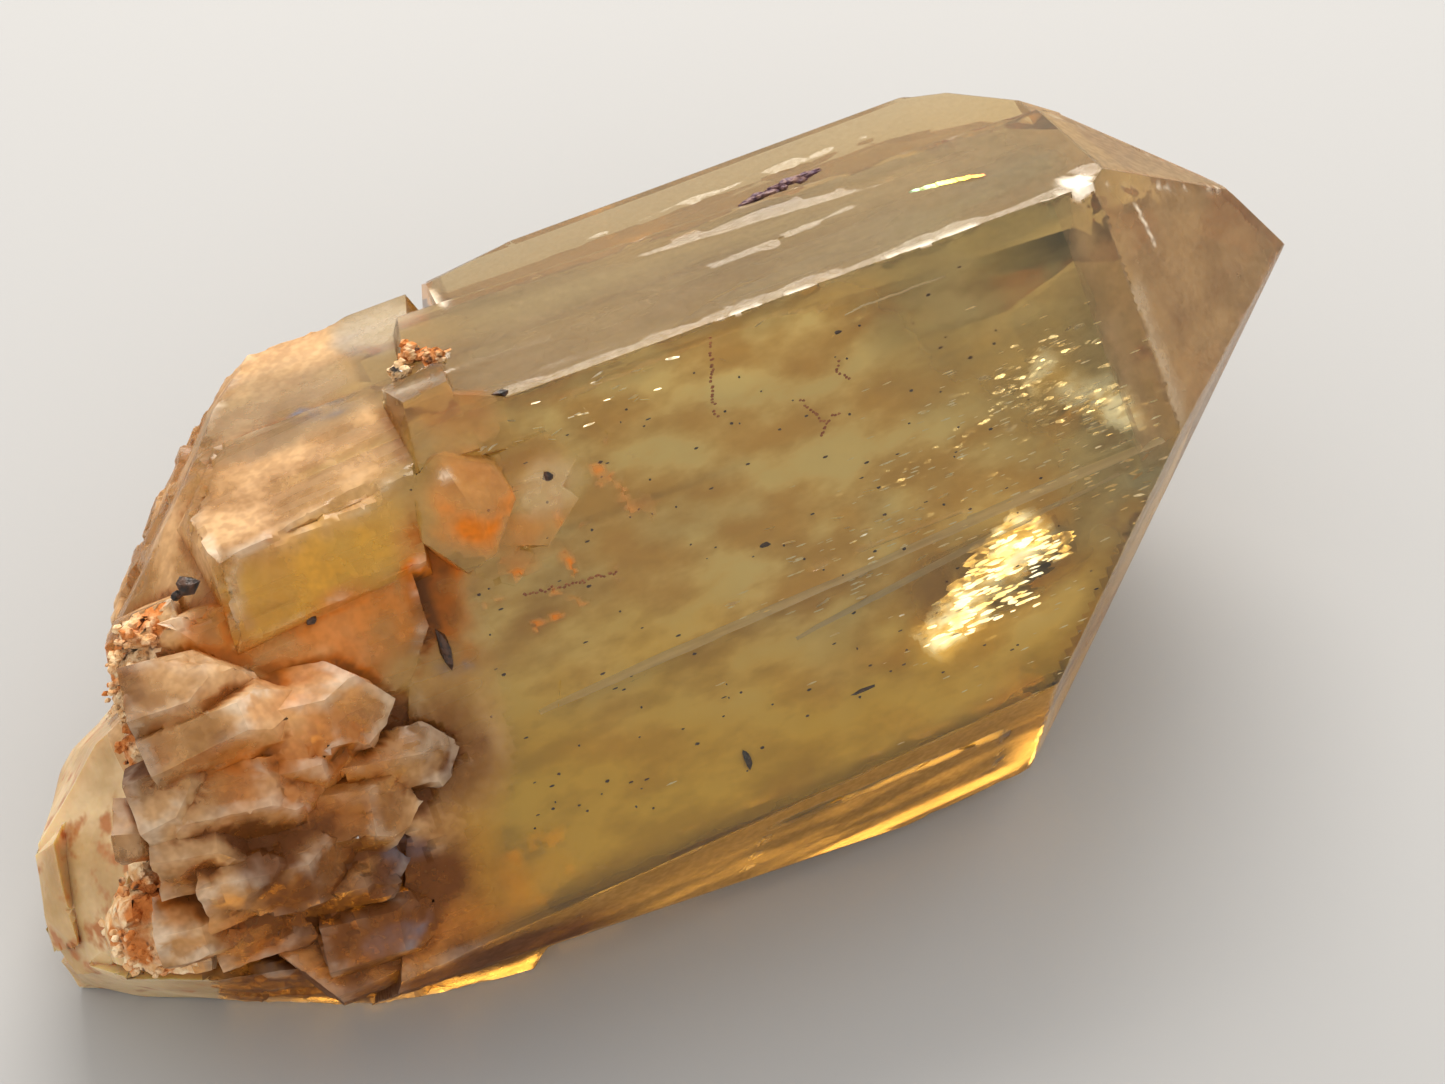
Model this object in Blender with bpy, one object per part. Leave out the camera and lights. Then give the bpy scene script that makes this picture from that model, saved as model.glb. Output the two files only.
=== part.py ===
"""A citrine crystal lying on its side: one hexagonal quartz prism with a pointed end, and at its broken
base a crowd of small crystals, a waxy lobe, a foot and crumbs of crust, all grown together as one stone.

Crystal axes, in millimetres from the stone's lowest front corner at the tip end:
  u runs along the prism towards the tip, v across the front face, w straight out of the front face.
The finished stone stands on z = 0 with its length along +X, in metres.
"""

import math
import random

import bmesh
import bpy
from mathutils import Matrix, Vector

MM = 0.001

# How the stone lies.
AXIS_RISE = math.radians(3.46)
FRONT_FACE_ROLL = math.radians(40.35)
CORNER_HEIGHT = 2.0

# The prism: for each face its bearing round the axis, its taper towards the tip, and its distance
# from the lowest front corner.
PRISM_FACES = {
    "upper": (60, 1.33, 34.04),
    "front": (0, 0.51, 12.03),
    "lower front": (-60, 1.39, 0.0),
    "under": (-120, 0.0, 0.0),
    "back": (180, 0.8, 16.0),
    "upper back": (120, 3.43, 30.46),
}
# The point: the angle between the axis and the normals of its faces is the same in all quartz.
POINT_ANGLE = math.radians(51.8)
POINT_FACES = {
    "front": (0, 16.49),
    "upper": (60, 34.32),
    "lower front": (-60, 0.0),
    "upper back": (120, 32.02),
    "under": (-120, 0.0),
    "back": (180, 18.5),
}
TIP_WEAR = 0.3
LOWER_EDGE_WEAR = 0.85
SMALL_TAPER = 4.0
BLOCK_HALF = 90.0

COLOUR = (0.62, 0.38, 0.13, 1.0)
ROUGHNESS = 0.12


def clear_scene():
    for obj in list(bpy.data.objects):
        bpy.data.objects.remove(obj, do_unlink=True)


def bearing(degrees):
    """The direction straight out of the axis at this bearing: 0 is w, 90 is v."""
    angle = math.radians(degrees)
    return Vector((0.0, math.sin(angle), math.cos(angle)))


def prism_normal(degrees, taper):
    lean = math.radians(taper)
    return bearing(degrees) * math.cos(lean) + Vector((math.sin(lean), 0.0, 0.0))


def point_normal(degrees):
    return bearing(degrees) * math.sin(POINT_ANGLE) + Vector((math.cos(POINT_ANGLE), 0.0, 0.0))


def block(planes, placed=None):
    """A solid with flat faces: what lies behind every plane, each a normal and a distance."""
    mesh = bmesh.new()
    bmesh.ops.create_cube(mesh, size=2 * BLOCK_HALF)
    for normal, distance in planes:
        normal = Vector(normal).normalized()
        every = mesh.verts[:] + mesh.edges[:] + mesh.faces[:]
        cut = bmesh.ops.bisect_plane(
            mesh, geom=every, dist=1e-5, plane_co=normal * distance, plane_no=normal, clear_outer=True
        )
        rim = [item for item in cut["geom_cut"] if isinstance(item, bmesh.types.BMEdge)]
        if rim:
            bmesh.ops.contextual_create(mesh, geom=rim)
    if placed is not None:
        bmesh.ops.transform(mesh, matrix=placed, verts=mesh.verts)
    bmesh.ops.recalc_face_normals(mesh, faces=mesh.faces)
    return mesh


def hull(points):
    """The smallest flat-faced solid round the points."""
    mesh = bmesh.new()
    for point in points:
        mesh.verts.new(point)
    made = bmesh.ops.convex_hull(mesh, input=mesh.verts[:])
    left_over = made["geom_interior"] + made["geom_unused"]
    spare = [item for item in left_over if isinstance(item, bmesh.types.BMVert)]
    bmesh.ops.delete(mesh, geom=spare, context="VERTS")
    bmesh.ops.dissolve_limit(mesh, angle_limit=math.radians(3), verts=mesh.verts[:], edges=mesh.edges[:])
    bmesh.ops.recalc_face_normals(mesh, faces=mesh.faces)
    return mesh


def lump(centre, size, seed):
    """A rough grain: a ball's points pushed in and out, and the flat-faced solid round them."""
    rng = random.Random(seed)
    ball = bmesh.new()
    bmesh.ops.create_icosphere(ball, subdivisions=1, radius=0.5)
    points = []
    for vert in ball.verts:
        reach = rng.uniform(0.78, 1.12)
        points.append(Vector(centre) + Vector([c * s * reach for c, s in zip(vert.co, size)]))
    ball.free()
    return hull(points)


def small_point(tip, length, width, depth, turn=(0.0, 0.0, 0.0), skew=0.0):
    """A small quartz point that ends at tip. Turn is the roll, pitch and yaw off the stone's own axes."""
    half = width / 2
    planes = [
        ((-1.0, 0.0, 0.0), length),
        (prism_normal(0, SMALL_TAPER), depth / 2),
        (bearing(180), depth / 2),
    ]
    for side in (60, 120, -60, -120):
        planes.append((prism_normal(side, SMALL_TAPER), half * 0.9))
    for side in (0, 120, -120):
        planes.append((point_normal(side), skew * half * math.copysign(0.3, side)))
    for side in (60, 180, -60):
        planes.append((point_normal(side), 0.22 * half))
    roll, pitch, yaw = (math.radians(angle) for angle in turn)
    turned = Matrix.Rotation(yaw, 4, "Z") @ Matrix.Rotation(-pitch, 4, "Y") @ Matrix.Rotation(roll, 4, "X")
    return block(planes, Matrix.Translation(tip) @ turned)


def growth_layer(corners, face_normal, height, lean=0.25):
    """A thin raised layer on a face: its outline in the face, and the same drawn in by lean above it."""
    normal = Vector(face_normal).normalized()
    corners = [Vector(corner) for corner in corners]
    middle = sum(corners, Vector()) / len(corners)
    points = [corner - normal * 1.0 for corner in corners]
    for corner in corners:
        inward = (middle - corner).normalized() * lean
        points.append(corner + inward + normal * height)
    return hull(points)


def main_prism():
    planes = [(prism_normal(side, taper), reach) for side, taper, reach in PRISM_FACES.values()]
    planes += [(point_normal(side), reach) for side, reach in POINT_FACES.values()]
    worn = point_normal(0) + point_normal(120)
    tip = Vector((25.89, 23.88, 0.61))
    planes.append((worn, worn.normalized().dot(tip) - TIP_WEAR))
    planes.append(((-0.080, -0.966, 0.245), LOWER_EDGE_WEAR))
    planes.append(((-0.922, 0.387, 0.0), 38.8))
    return block(planes)


def back_band():
    """The step behind the upper back edge, a second prism grown alongside the first."""
    planes = [
        (prism_normal(60, 0.0), 33.35),
        (bearing(0), 8.0),
        ((-0.096, 0.995, 0.0), 41.6),
        ((-0.01, 1.0, 0.03), 40.85),
        ((0.25, 0.968, 0.0), 40.3),
        ((0.52, 0.854, 0.0), 38.4),
        (point_normal(60), 33.9),
        ((1.0, 0.0, 0.0), 15.0),
        (prism_normal(120, 1.0), 35.8),
        (prism_normal(150, 1.0), 27.6),
        ((-1.0, 0.1, 0.0), 27.0),
        (bearing(180), 9.0),
        ((0.0, -1.0, 0.0), -22.0),
    ]
    return block(planes)


def base_body():
    """The swollen base behind the crowd of small crystals, broken round at its upper left."""
    planes = [
        ((-0.044, 0.0, 0.999), 13.55),
        (prism_normal(60, 0.0), 33.0),
        (prism_normal(90, 0.0), 40.3),
        (prism_normal(120, 1.0), 34.8),
        (bearing(180), 14.5),
        (prism_normal(-60, 0.0), 0.2),
        ((-0.05, -0.97, 0.24), -1.0),
        ((0.95, 0.0, 0.3), -24.0),
        ((-0.564, 0.826, 0.0), 51.7),
        ((-0.694, 0.720, 0.0), 52.6),
        ((-0.60, 0.62, 0.50), 48.2),
        ((-0.74, 0.45, 0.50), 49.2),
        ((-0.99, 0.12, 0.0), 49.6),
        ((-0.88, 0.20, -0.43), 49.0),
        ((-0.60, 0.50, -0.62), 46.0),
        ((-0.80, -0.45, 0.10), 35.3),
    ]
    return block(planes)


def shoulder_crystal():
    """The large crystal grown alongside at the base, a little proud of the front face."""
    planes = [
        ((0.02, -0.02, 1.0), 12.4),
        ((-0.035, 0.866, 0.5), 34.75),
        ((0.05, -0.80, 0.60), -14.6),
        ((-0.98, 0.10, 0.15), 45.0),
        ((-0.60, 0.62, 0.50), 50.4),
        ((-0.694, 0.720, 0.0), 52.0),
        ((0.94, -0.20, 0.28), -30.0),
        ((0.90, 0.22, 0.37), -14.3),
        (bearing(180), 2.0),
        ((0.0, -1.0, 0.0), -18.0),
        ((0.0, 1.0, -0.1), 34.9),
    ]
    return block(planes)


def ledge_under_shoulder():
    """The orange-brown face that steps down from the shoulder crystal to the front face."""
    return hull(
        [
            (-44.0, 28.5, 12.4),
            (-41.5, 25.0, 13.2),
            (-38.0, 22.0, 12.9),
            (-33.6, 20.4, 12.3),
            (-31.4, 23.2, 13.0),
            (-31.2, 27.0, 13.2),
            (-46.2, 25.0, 10.5),
            (-46.5, 27.5, 9.5),
            (-45.0, 22.0, 4.0),
            (-32.0, 21.0, 4.0),
            (-31.0, 28.0, 4.0),
            (-45.0, 28.0, 4.0),
        ]
    )


def orange_block():
    """The squared crystal that leans out between the shoulder and the front face."""
    return hull(
        [
            (-29.4, 30.8, 13.6),
            (-28.0, 31.6, 14.6),
            (-25.2, 29.9, 13.7),
            (-24.8, 27.8, 13.5),
            (-27.0, 25.6, 14.6),
            (-28.6, 25.2, 14.4),
            (-30.2, 27.6, 14.0),
            (-27.3, 28.4, 15.3),
            (-30.5, 31.0, 9.0),
            (-24.0, 31.0, 9.0),
            (-25.5, 26.0, 9.0),
            (-29.5, 25.8, 9.0),
        ]
    )


def upper_blocks():
    """Two low squared crystals above the orange one, on the ridge."""
    left = hull(
        [
            (-29.0, 31.2, 14.0),
            (-28.4, 34.6, 12.6),
            (-25.8, 34.8, 12.2),
            (-25.6, 31.0, 13.6),
            (-29.4, 31.0, 8.0),
            (-28.8, 35.5, 8.0),
            (-25.2, 35.6, 8.0),
            (-25.0, 30.6, 8.0),
        ]
    )
    right = hull(
        [
            (-26.2, 34.2, 12.3),
            (-23.4, 33.0, 12.9),
            (-23.9, 30.4, 13.2),
            (-26.4, 30.8, 13.4),
            (-26.6, 34.6, 8.0),
            (-22.9, 33.6, 8.0),
            (-23.5, 30.0, 8.0),
            (-26.6, 30.2, 8.0),
        ]
    )
    return [left, right]


def yellow_plates():
    """Thin jagged plates lying on the front face beside the orange block."""
    outlines = (
        (((-26.4, 25.6), (-24.0, 24.6), (-21.4, 26.5), (-22.8, 28.7), (-25.2, 28.4)), 0.75),
        (((-25.6, 27.4), (-22.6, 26.8), (-20.6, 28.6), (-21.8, 30.6), (-25.0, 30.4)), 0.5),
        (((-28.6, 24.9), (-26.3, 23.2), (-24.6, 24.6), (-26.6, 26.2)), 0.4),
    )
    made = []
    for outline, height in outlines:
        corners = [(u, v, 12.2) for u, v in outline]
        made.append(growth_layer(corners, (0.03, 0.05, 1.0), height, lean=0.2))
    return made


def crowd_of_points():
    """The small crystals that crowd the base, tips towards the stone's own tip."""
    rows = (
        # tip, length, width, depth, (roll, pitch, yaw), skew
        ((-40.6, 24.4, 13.9), 6.5, 4.4, 4.6, (22, 14, -2), 0.0),
        ((-39.2, 22.5, 14.4), 8.0, 3.6, 4.2, (-16, 10, 4), 0.4),
        ((-34.3, 20.7, 14.0), 7.5, 4.6, 4.2, (8, 13, -6), -0.3),
        ((-36.8, 19.2, 13.5), 7.0, 3.6, 3.8, (36, 9, -7), 0.5),
        ((-39.0, 17.9, 14.0), 8.0, 4.4, 4.2, (-20, 12, -9), 0.0),
        ((-32.2, 16.5, 12.9), 6.0, 3.2, 3.0, (14, 8, -10), 0.3),
        ((-34.9, 14.8, 13.5), 8.5, 4.2, 3.8, (-6, 11, -11), 0.0),
        ((-38.2, 13.7, 13.6), 9.0, 4.6, 4.0, (28, 10, -9), -0.4),
        ((-36.7, 11.9, 12.6), 7.0, 3.2, 3.2, (-12, 8, -10), 0.2),
        ((-36.0, 8.7, 12.0), 6.5, 3.8, 3.4, (6, 8, -8), 0.0),
        ((-45.2, 12.6, 12.4), 5.0, 3.4, 3.6, (16, 12, -8), 0.0),
        ((-41.2, 11.2, 11.6), 6.5, 3.0, 3.4, (-30, 8, -6), 0.0),
        ((-44.0, 20.6, 14.2), 4.8, 3.2, 4.0, (40, 14, 6), 0.0),
        ((-43.0, 16.0, 13.5), 6.0, 3.6, 4.0, (-24, 12, -12), 0.3),
        ((-46.4, 18.0, 12.4), 4.0, 3.0, 3.6, (12, 12, -16), 0.0),
    )
    made = []
    for tip, length, width, depth, turn, skew in rows:
        made.append(small_point(tip, length, width, depth, turn, skew))
    return made


def bed_of_crowd():
    """The uneven ground that the small crystals stand on."""
    return [
        hull(
            [
                (-46.5, 24.0, 11.8),
                (-38.0, 22.0, 12.6),
                (-34.5, 19.0, 12.3),
                (-33.8, 14.0, 12.2),
                (-37.0, 9.0, 11.6),
                (-47.5, 10.5, 9.5),
                (-49.0, 15.0, 10.5),
                (-47.8, 20.0, 11.0),
                (-47.0, 24.0, 3.0),
                (-33.0, 21.0, 3.0),
                (-33.0, 9.0, 3.0),
                (-50.0, 10.0, 3.0),
            ]
        ),
        hull(
            [
                (-47.3, 28.0, 8.8),
                (-46.0, 29.2, 10.2),
                (-43.2, 29.4, 12.0),
                (-43.5, 26.2, 12.4),
                (-46.6, 25.0, 11.4),
                (-48.0, 24.2, 8.4),
                (-47.4, 24.0, 0.0),
                (-46.6, 28.4, 0.0),
                (-42.0, 29.0, 2.0),
                (-42.0, 24.0, 2.0),
            ]
        ),
    ]


def waxy_lobe():
    """The smooth rounded lobe beyond the crowd, with low ridges along its outer edge."""
    body = hull(
        [
            (-47.0, 24.2, 6.0),
            (-49.6, 22.9, 4.5),
            (-52.3, 20.7, 2.5),
            (-54.8, 18.6, 1.5),
            (-55.6, 16.0, 1.5),
            (-56.0, 13.2, 1.0),
            (-55.4, 11.2, 2.0),
            (-47.2, 21.5, 8.2),
            (-48.6, 18.6, 8.6),
            (-50.8, 16.0, 8.0),
            (-52.6, 13.0, 6.6),
            (-53.6, 11.0, 4.0),
            (-54.6, 17.6, -6.0),
            (-55.4, 12.8, -6.5),
            (-51.6, 21.6, -7.5),
            (-46.0, 24.0, -9.0),
            (-42.0, 12.0, -8.0),
            (-42.0, 20.0, 7.0),
            (-44.0, 8.0, 0.0),
        ]
    )
    ridge = hull(
        [
            (-53.0, 19.5, 3.6),
            (-55.1, 18.2, 2.2),
            (-55.9, 15.0, 2.4),
            (-56.2, 12.6, 1.4),
            (-54.3, 16.6, 4.4),
            (-54.7, 13.0, 4.0),
            (-53.8, 18.8, 4.6),
            (-56.3, 13.6, -3.0),
            (-55.0, 17.6, -2.4),
            (-53.0, 15.0, -3.0),
        ]
    )
    return [body, ridge]


def foot():
    """The long low foot along the table, with a rounded right end."""
    return hull(
        [
            (-54.4, 11.6, 4.0),
            (-52.6, 10.6, 6.4),
            (-48.6, 9.0, 7.6),
            (-40.0, 6.9, 8.2),
            (-34.6, 5.4, 7.2),
            (-31.4, 3.9, 4.6),
            (-30.3, 2.6, 2.2),
            (-30.2, 1.6, -1.0),
            (-31.8, 0.6, -0.6),
            (-35.0, 1.0, -0.6),
            (-40.0, 1.8, -1.4),
            (-47.0, 4.5, -3.0),
            (-53.0, 7.2, -4.8),
            (-56.0, 8.9, -5.6),
            (-56.4, 11.2, -3.0),
            (-50.0, 16.0, -12.0),
            (-34.0, 8.0, -8.0),
        ]
    )


def crust():
    """Crumbly crust in the hollows: a boxy porous mass at the lower left, and a trail of grains."""
    boxy = hull(
        [
            (-52.9, 13.6, 7.6),
            (-51.6, 15.2, 9.0),
            (-48.8, 15.0, 10.9),
            (-47.9, 12.6, 11.2),
            (-48.5, 10.3, 10.2),
            (-51.0, 10.7, 9.0),
            (-53.0, 11.8, 7.2),
            (-53.4, 12.0, 3.0),
            (-48.0, 9.8, 3.0),
            (-47.0, 15.0, 3.0),
            (-52.0, 15.4, 3.0),
        ]
    )
    grains = (
        ((-47.6, 22.6, 9.4), (2.0, 2.6, 3.6)),
        ((-46.9, 19.9, 11.0), (2.8, 3.6, 4.2)),
        ((-48.2, 18.0, 9.8), (2.0, 2.6, 3.2)),
        ((-49.9, 16.2, 9.4), (2.4, 2.2, 3.0)),
        ((-51.2, 14.4, 8.8), (1.8, 1.8, 2.6)),
        ((-49.6, 13.0, 10.6), (1.8, 2.0, 2.2)),
        ((-46.6, 26.6, 10.6), (2.4, 2.4, 2.8)),
        ((-45.4, 28.3, 11.0), (2.4, 2.0, 2.4)),
        ((-47.4, 25.0, 9.0), (1.8, 2.2, 3.0)),
        ((-26.4, 36.6, 6.4), (1.5, 1.2, 1.8)),
        ((-27.4, 35.9, 7.3), (1.3, 1.2, 1.7)),
        ((-25.2, 36.0, 7.1), (1.1, 1.0, 1.6)),
        ((-47.0, 11.4, 10.4), (1.8, 1.6, 2.4)),
    )
    made = [boxy]
    for number, (centre, size) in enumerate(grains):
        made.append(lump(centre, size, seed=20 + number))
    return made


def growth_layers():
    """Low steps left by growth on the big faces, in front and out of sight."""
    front = prism_normal(0, 0.51)
    upper = prism_normal(60, 1.33)
    lower = prism_normal(-60, 1.39)
    return [
        growth_layer(
            [(-20.0, 31.6, 12.2), (-8.0, 31.8, 12.1), (-2.0, 30.2, 12.0), (-9.0, 28.6, 12.1), (-19.0, 29.0, 12.2)],
            front,
            0.14,
        ),
        growth_layer(
            [(-27.0, 16.2, 12.27), (10.2, 16.6, 11.93), (11.0, 17.6, 11.93), (-26.0, 18.4, 12.26)],
            front,
            0.10,
            lean=0.4,
        ),
        growth_layer(
            [(-18.0, 36.9, 4.6), (-4.0, 37.2, 3.7), (4.0, 35.6, 5.9), (-6.0, 34.9, 7.7), (-19.0, 35.5, 7.0)],
            upper,
            0.18,
            lean=0.4,
        ),
        growth_layer(
            [(-19.5, 2.6, 5.3), (-2.5, 1.7, 3.0), (-2.6, 4.9, 8.5), (-18.0, 5.6, 10.4)],
            lower,
            0.16,
            lean=0.4,
        ),
    ]


def hidden_side():
    """The side away from the viewer: a second prism side, steps and small points near the base."""
    beside = block(
        [
            (bearing(180), 17.2),
            (prism_normal(-120, 1.0), -2.6),
            ((-0.694, 0.720, 0.0), 51.0),
            ((-0.564, 0.826, 0.0), 50.0),
            (prism_normal(120, 2.0), 27.6),
            (point_normal(180), 10.8),
            (point_normal(-120), -8.0),
            ((0.62, 0.7, -0.38), 24.0),
            ((-0.97, -0.1, -0.2), 38.0),
            (bearing(0), 0.0),
        ]
    )
    rows = (
        ((-24.5, 27.0, -14.6), 9.0, 5.0, 4.6, (180, -6, 3), 0.0),
        ((-29.5, 31.2, -9.6), 7.5, 4.6, 4.4, (140, -4, 5), 0.3),
        ((-32.0, 33.0, -6.4), 6.0, 4.2, 4.0, (120, -2, 2), 0.0),
        ((-30.0, 22.4, -15.0), 11.0, 4.8, 4.6, (200, -7, -3), -0.3),
        ((-35.5, 27.2, -13.4), 7.0, 5.0, 5.0, (170, -8, 2), 0.0),
    )
    made = [beside]
    for tip, length, width, depth, turn, skew in rows:
        made.append(small_point(tip, length, width, depth, turn, skew))
    return made


def chips():
    """What has broken away: the blue-grey chip by the ridge, nicks along the edges and the dark recess."""
    fractures = (
        ((-28.6, 40.6, 3.6), (8.6, 3.6, 6.4), 3),
        ((-30.6, 24.2, 14.9), (2.6, 4.2, 3.4), 4),
        ((11.3, 32.3, 12.4), (2.4, 1.2, 1.2), 5),
        ((-4.0, 32.7, 12.6), (3.0, 1.0, 1.2), 6),
        ((26.3, 24.4, 0.6), (1.6, 1.6, 1.6), 8),
        ((-44.6, 33.6, 7.0), (3.4, 2.6, 4.4), 9),
        ((11.0, 37.8, 4.2), (2.2, 1.6, 1.8), 10),
    )
    return [lump(centre, size, seed) for centre, size, seed in fractures]


def add_object(name, mesh_source, collection, helper=False):
    mesh = bpy.data.meshes.new(name)
    mesh_source.to_mesh(mesh)
    mesh_source.free()
    obj = bpy.data.objects.new(name, mesh)
    collection.objects.link(obj)
    if helper:
        obj.hide_render = True
        obj.display_type = "WIRE"
    return obj


def new_collection(name):
    made = bpy.data.collections.new(name)
    bpy.context.scene.collection.children.link(made)
    return made


def join(obj, others, operation, collection_name):
    group = new_collection(collection_name)
    for number, source in enumerate(others):
        add_object(f"{collection_name}_{number:02d}", source, group, helper=True)
    boolean = obj.modifiers.new(collection_name, "BOOLEAN")
    boolean.operation = operation
    boolean.solver = "EXACT"
    boolean.operand_type = "COLLECTION"
    boolean.collection = group


def lying_pose():
    """From crystal axes to the way the stone lies: rolled about its length, tip end raised."""
    raised = Matrix.Rotation(-AXIS_RISE, 4, "Y") @ Matrix.Rotation(FRONT_FACE_ROLL, 4, "X")
    return Matrix.Translation((0.0, 0.0, CORNER_HEIGHT)) @ raised


def below_table(pose):
    """Everything under the table, in crystal axes, to take the stone's resting face off flat."""
    depth = 20.0
    mesh = bmesh.new()
    bmesh.ops.create_cube(mesh, size=1.0)
    shape = Matrix.Translation((-10.0, 10.0, -depth / 2)) @ Matrix.Diagonal((160.0, 120.0, depth, 1.0))
    bmesh.ops.transform(mesh, matrix=pose.inverted() @ shape, verts=mesh.verts)
    return mesh


def citrine_material():
    material = bpy.data.materials.new("citrine")
    material.use_nodes = True
    shader = material.node_tree.nodes["Principled BSDF"]
    shader.inputs["Base Color"].default_value = COLOUR
    shader.inputs["Roughness"].default_value = ROUGHNESS
    shader.inputs["Metallic"].default_value = 0.0
    return material


def touching_group(start, waiting):
    """The faces reached from start across shared edges, taken out of waiting."""
    group = {start}
    front = [start]
    while front:
        face = front.pop()
        for edge in face.edges:
            for other in edge.link_faces:
                if other in waiting:
                    waiting.discard(other)
                    group.add(other)
                    front.append(other)
    return group


def without_pockets(mesh):
    """Drops the small sealed pockets left between crystals, so that the stone is solid to its skin."""
    skin = bmesh.new()
    skin.from_mesh(mesh)
    waiting = set(skin.faces)
    groups = []
    while waiting:
        groups.append(touching_group(waiting.pop(), waiting))
    largest = max(groups, key=len)
    spare = [face for face in skin.faces if face not in largest]
    bmesh.ops.delete(skin, geom=spare, context="FACES")
    skin.to_mesh(mesh)
    skin.free()


def stand_on_origin(obj, pose):
    """Bakes the joined stone, lays it down, and puts the origin under the middle of its box."""
    bpy.context.view_layer.update()
    graph = bpy.context.evaluated_depsgraph_get()
    joined = bpy.data.meshes.new_from_object(obj.evaluated_get(graph))
    obj.modifiers.clear()
    without_pockets(joined)
    joined.transform(pose)
    low = [min(vert.co[axis] for vert in joined.vertices) for axis in range(3)]
    high = [max(vert.co[axis] for vert in joined.vertices) for axis in range(3)]
    middle = Vector(((low[0] + high[0]) / 2, (low[1] + high[1]) / 2, low[2]))
    joined.transform(Matrix.Scale(MM, 4) @ Matrix.Translation(-middle))
    obj.data = joined


def main():
    clear_scene()
    pose = lying_pose()
    stone = add_object("citrine_crystal", main_prism(), bpy.context.scene.collection)
    grown = [back_band(), base_body(), shoulder_crystal(), ledge_under_shoulder(), orange_block(), foot()]
    grown += upper_blocks() + yellow_plates() + crowd_of_points() + bed_of_crowd()
    grown += waxy_lobe() + crust() + growth_layers() + hidden_side()
    join(stone, grown, "UNION", "grown_together")
    join(stone, chips(), "DIFFERENCE", "broken_away")
    join(stone, [below_table(pose)], "DIFFERENCE", "table")
    stand_on_origin(stone, pose)
    stone.data.materials.clear()
    stone.data.materials.append(citrine_material())


main()
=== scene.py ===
"""The looks of the citrine crystal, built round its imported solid.

Shapes are worked out in crystal axes, in millimetres from the stone's lowest front corner at the tip
end: u runs along the prism towards the tip, v across the front face, w straight out of it. CRYSTAL
turns them into the part's own frame, in metres.
"""

import math
import random

import bmesh
import bpy
import numpy as np
from mathutils import Matrix, Vector


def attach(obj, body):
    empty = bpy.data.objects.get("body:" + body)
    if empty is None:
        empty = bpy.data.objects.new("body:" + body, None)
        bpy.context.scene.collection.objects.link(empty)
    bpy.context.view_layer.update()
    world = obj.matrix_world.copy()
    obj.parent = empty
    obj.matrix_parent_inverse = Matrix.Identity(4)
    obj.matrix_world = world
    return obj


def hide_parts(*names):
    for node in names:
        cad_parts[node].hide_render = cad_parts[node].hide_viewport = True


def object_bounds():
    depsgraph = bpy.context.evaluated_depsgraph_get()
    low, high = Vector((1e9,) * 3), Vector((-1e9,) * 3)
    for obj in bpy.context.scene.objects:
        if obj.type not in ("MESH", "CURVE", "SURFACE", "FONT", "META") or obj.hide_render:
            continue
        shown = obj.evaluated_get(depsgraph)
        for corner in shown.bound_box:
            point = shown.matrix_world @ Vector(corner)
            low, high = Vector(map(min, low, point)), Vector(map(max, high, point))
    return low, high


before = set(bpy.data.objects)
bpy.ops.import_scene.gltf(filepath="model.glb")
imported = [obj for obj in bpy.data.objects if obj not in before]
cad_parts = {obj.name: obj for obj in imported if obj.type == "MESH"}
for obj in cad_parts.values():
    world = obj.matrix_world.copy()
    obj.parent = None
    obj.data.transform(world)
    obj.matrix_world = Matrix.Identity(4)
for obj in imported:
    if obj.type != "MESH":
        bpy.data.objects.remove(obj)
cad_box = [list(corner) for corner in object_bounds()]

MM = 0.001
NODE = "citrine_crystal"

# How the stone lies, as in the part.
AXIS_RISE = math.radians(3.46)
FRONT_FACE_ROLL = math.radians(40.35)
FRONT_CORNER = Vector((15.866, -15.376, 2.0))
TURNED = Matrix.Rotation(-AXIS_RISE, 4, "Y") @ Matrix.Rotation(FRONT_FACE_ROLL, 4, "X")
CRYSTAL = Matrix.Scale(MM, 4) @ Matrix.Translation(FRONT_CORNER) @ TURNED
TO_CRYSTAL = CRYSTAL.inverted()

# The camera, in the part's frame.
CAMERA_PLACE = Vector((-0.0384, -0.0914, 0.15635))
CAMERA_AZIMUTH = math.radians(-24.17)
CAMERA_DOWN = math.radians(55.0)
LENS = 74.74
SENSOR = 36.0
CLIP_NEAR = 0.01
CLIP_FAR = 20.0

# The lamp behind the stone, the pale room round it, and the floor.
LAMP_PLACE = Vector((0.17, 0.42, 0.33))
LAMP_SIZE = 0.36
LAMP_POWER = 2.7
LAMP_COLOUR = (1.0, 0.95, 0.88)
ROOM_COLOUR = (1.0, 0.98, 0.95, 1.0)
ROOM_STRENGTH = 0.92
FLOOR_HALF = 3.0
FLOOR_DROP = 0.0001
FLOOR_COLOUR = (0.44, 0.44, 0.44, 1.0)
VIEW_GAMMA = 0.86
VIEW_EXPOSURE = 0.3

QUARTZ_IOR = 1.544
MESH_DEPTH = 8
SHARP_EDGE = math.radians(24)

# The main corners of the prism and its point, in crystal axes, and how far out the front face lies.
RIDGE_LEFT = Vector((-23.1, 33.0, 12.2))
CORNER_A = Vector((11.51, 32.1, 11.93))
CORNER_B = Vector((22.95, 27.88, 2.93))
CORNER_TIP = Vector((25.89, 23.88, 0.61))
CORNER_D = Vector((11.51, 17.34, 11.93))
CORNER_E = Vector((0.0, 6.95, 12.03))
CORNER_F = Vector((0.0, 0.0, 0.0))
CORNER_G = Vector((12.59, 36.67, 4.0))
FRONT_W = 12.0


def at(u, v, w):
    return CRYSTAL @ Vector((u, v, w))


# Fields over space, worked out for many points at once.


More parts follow.
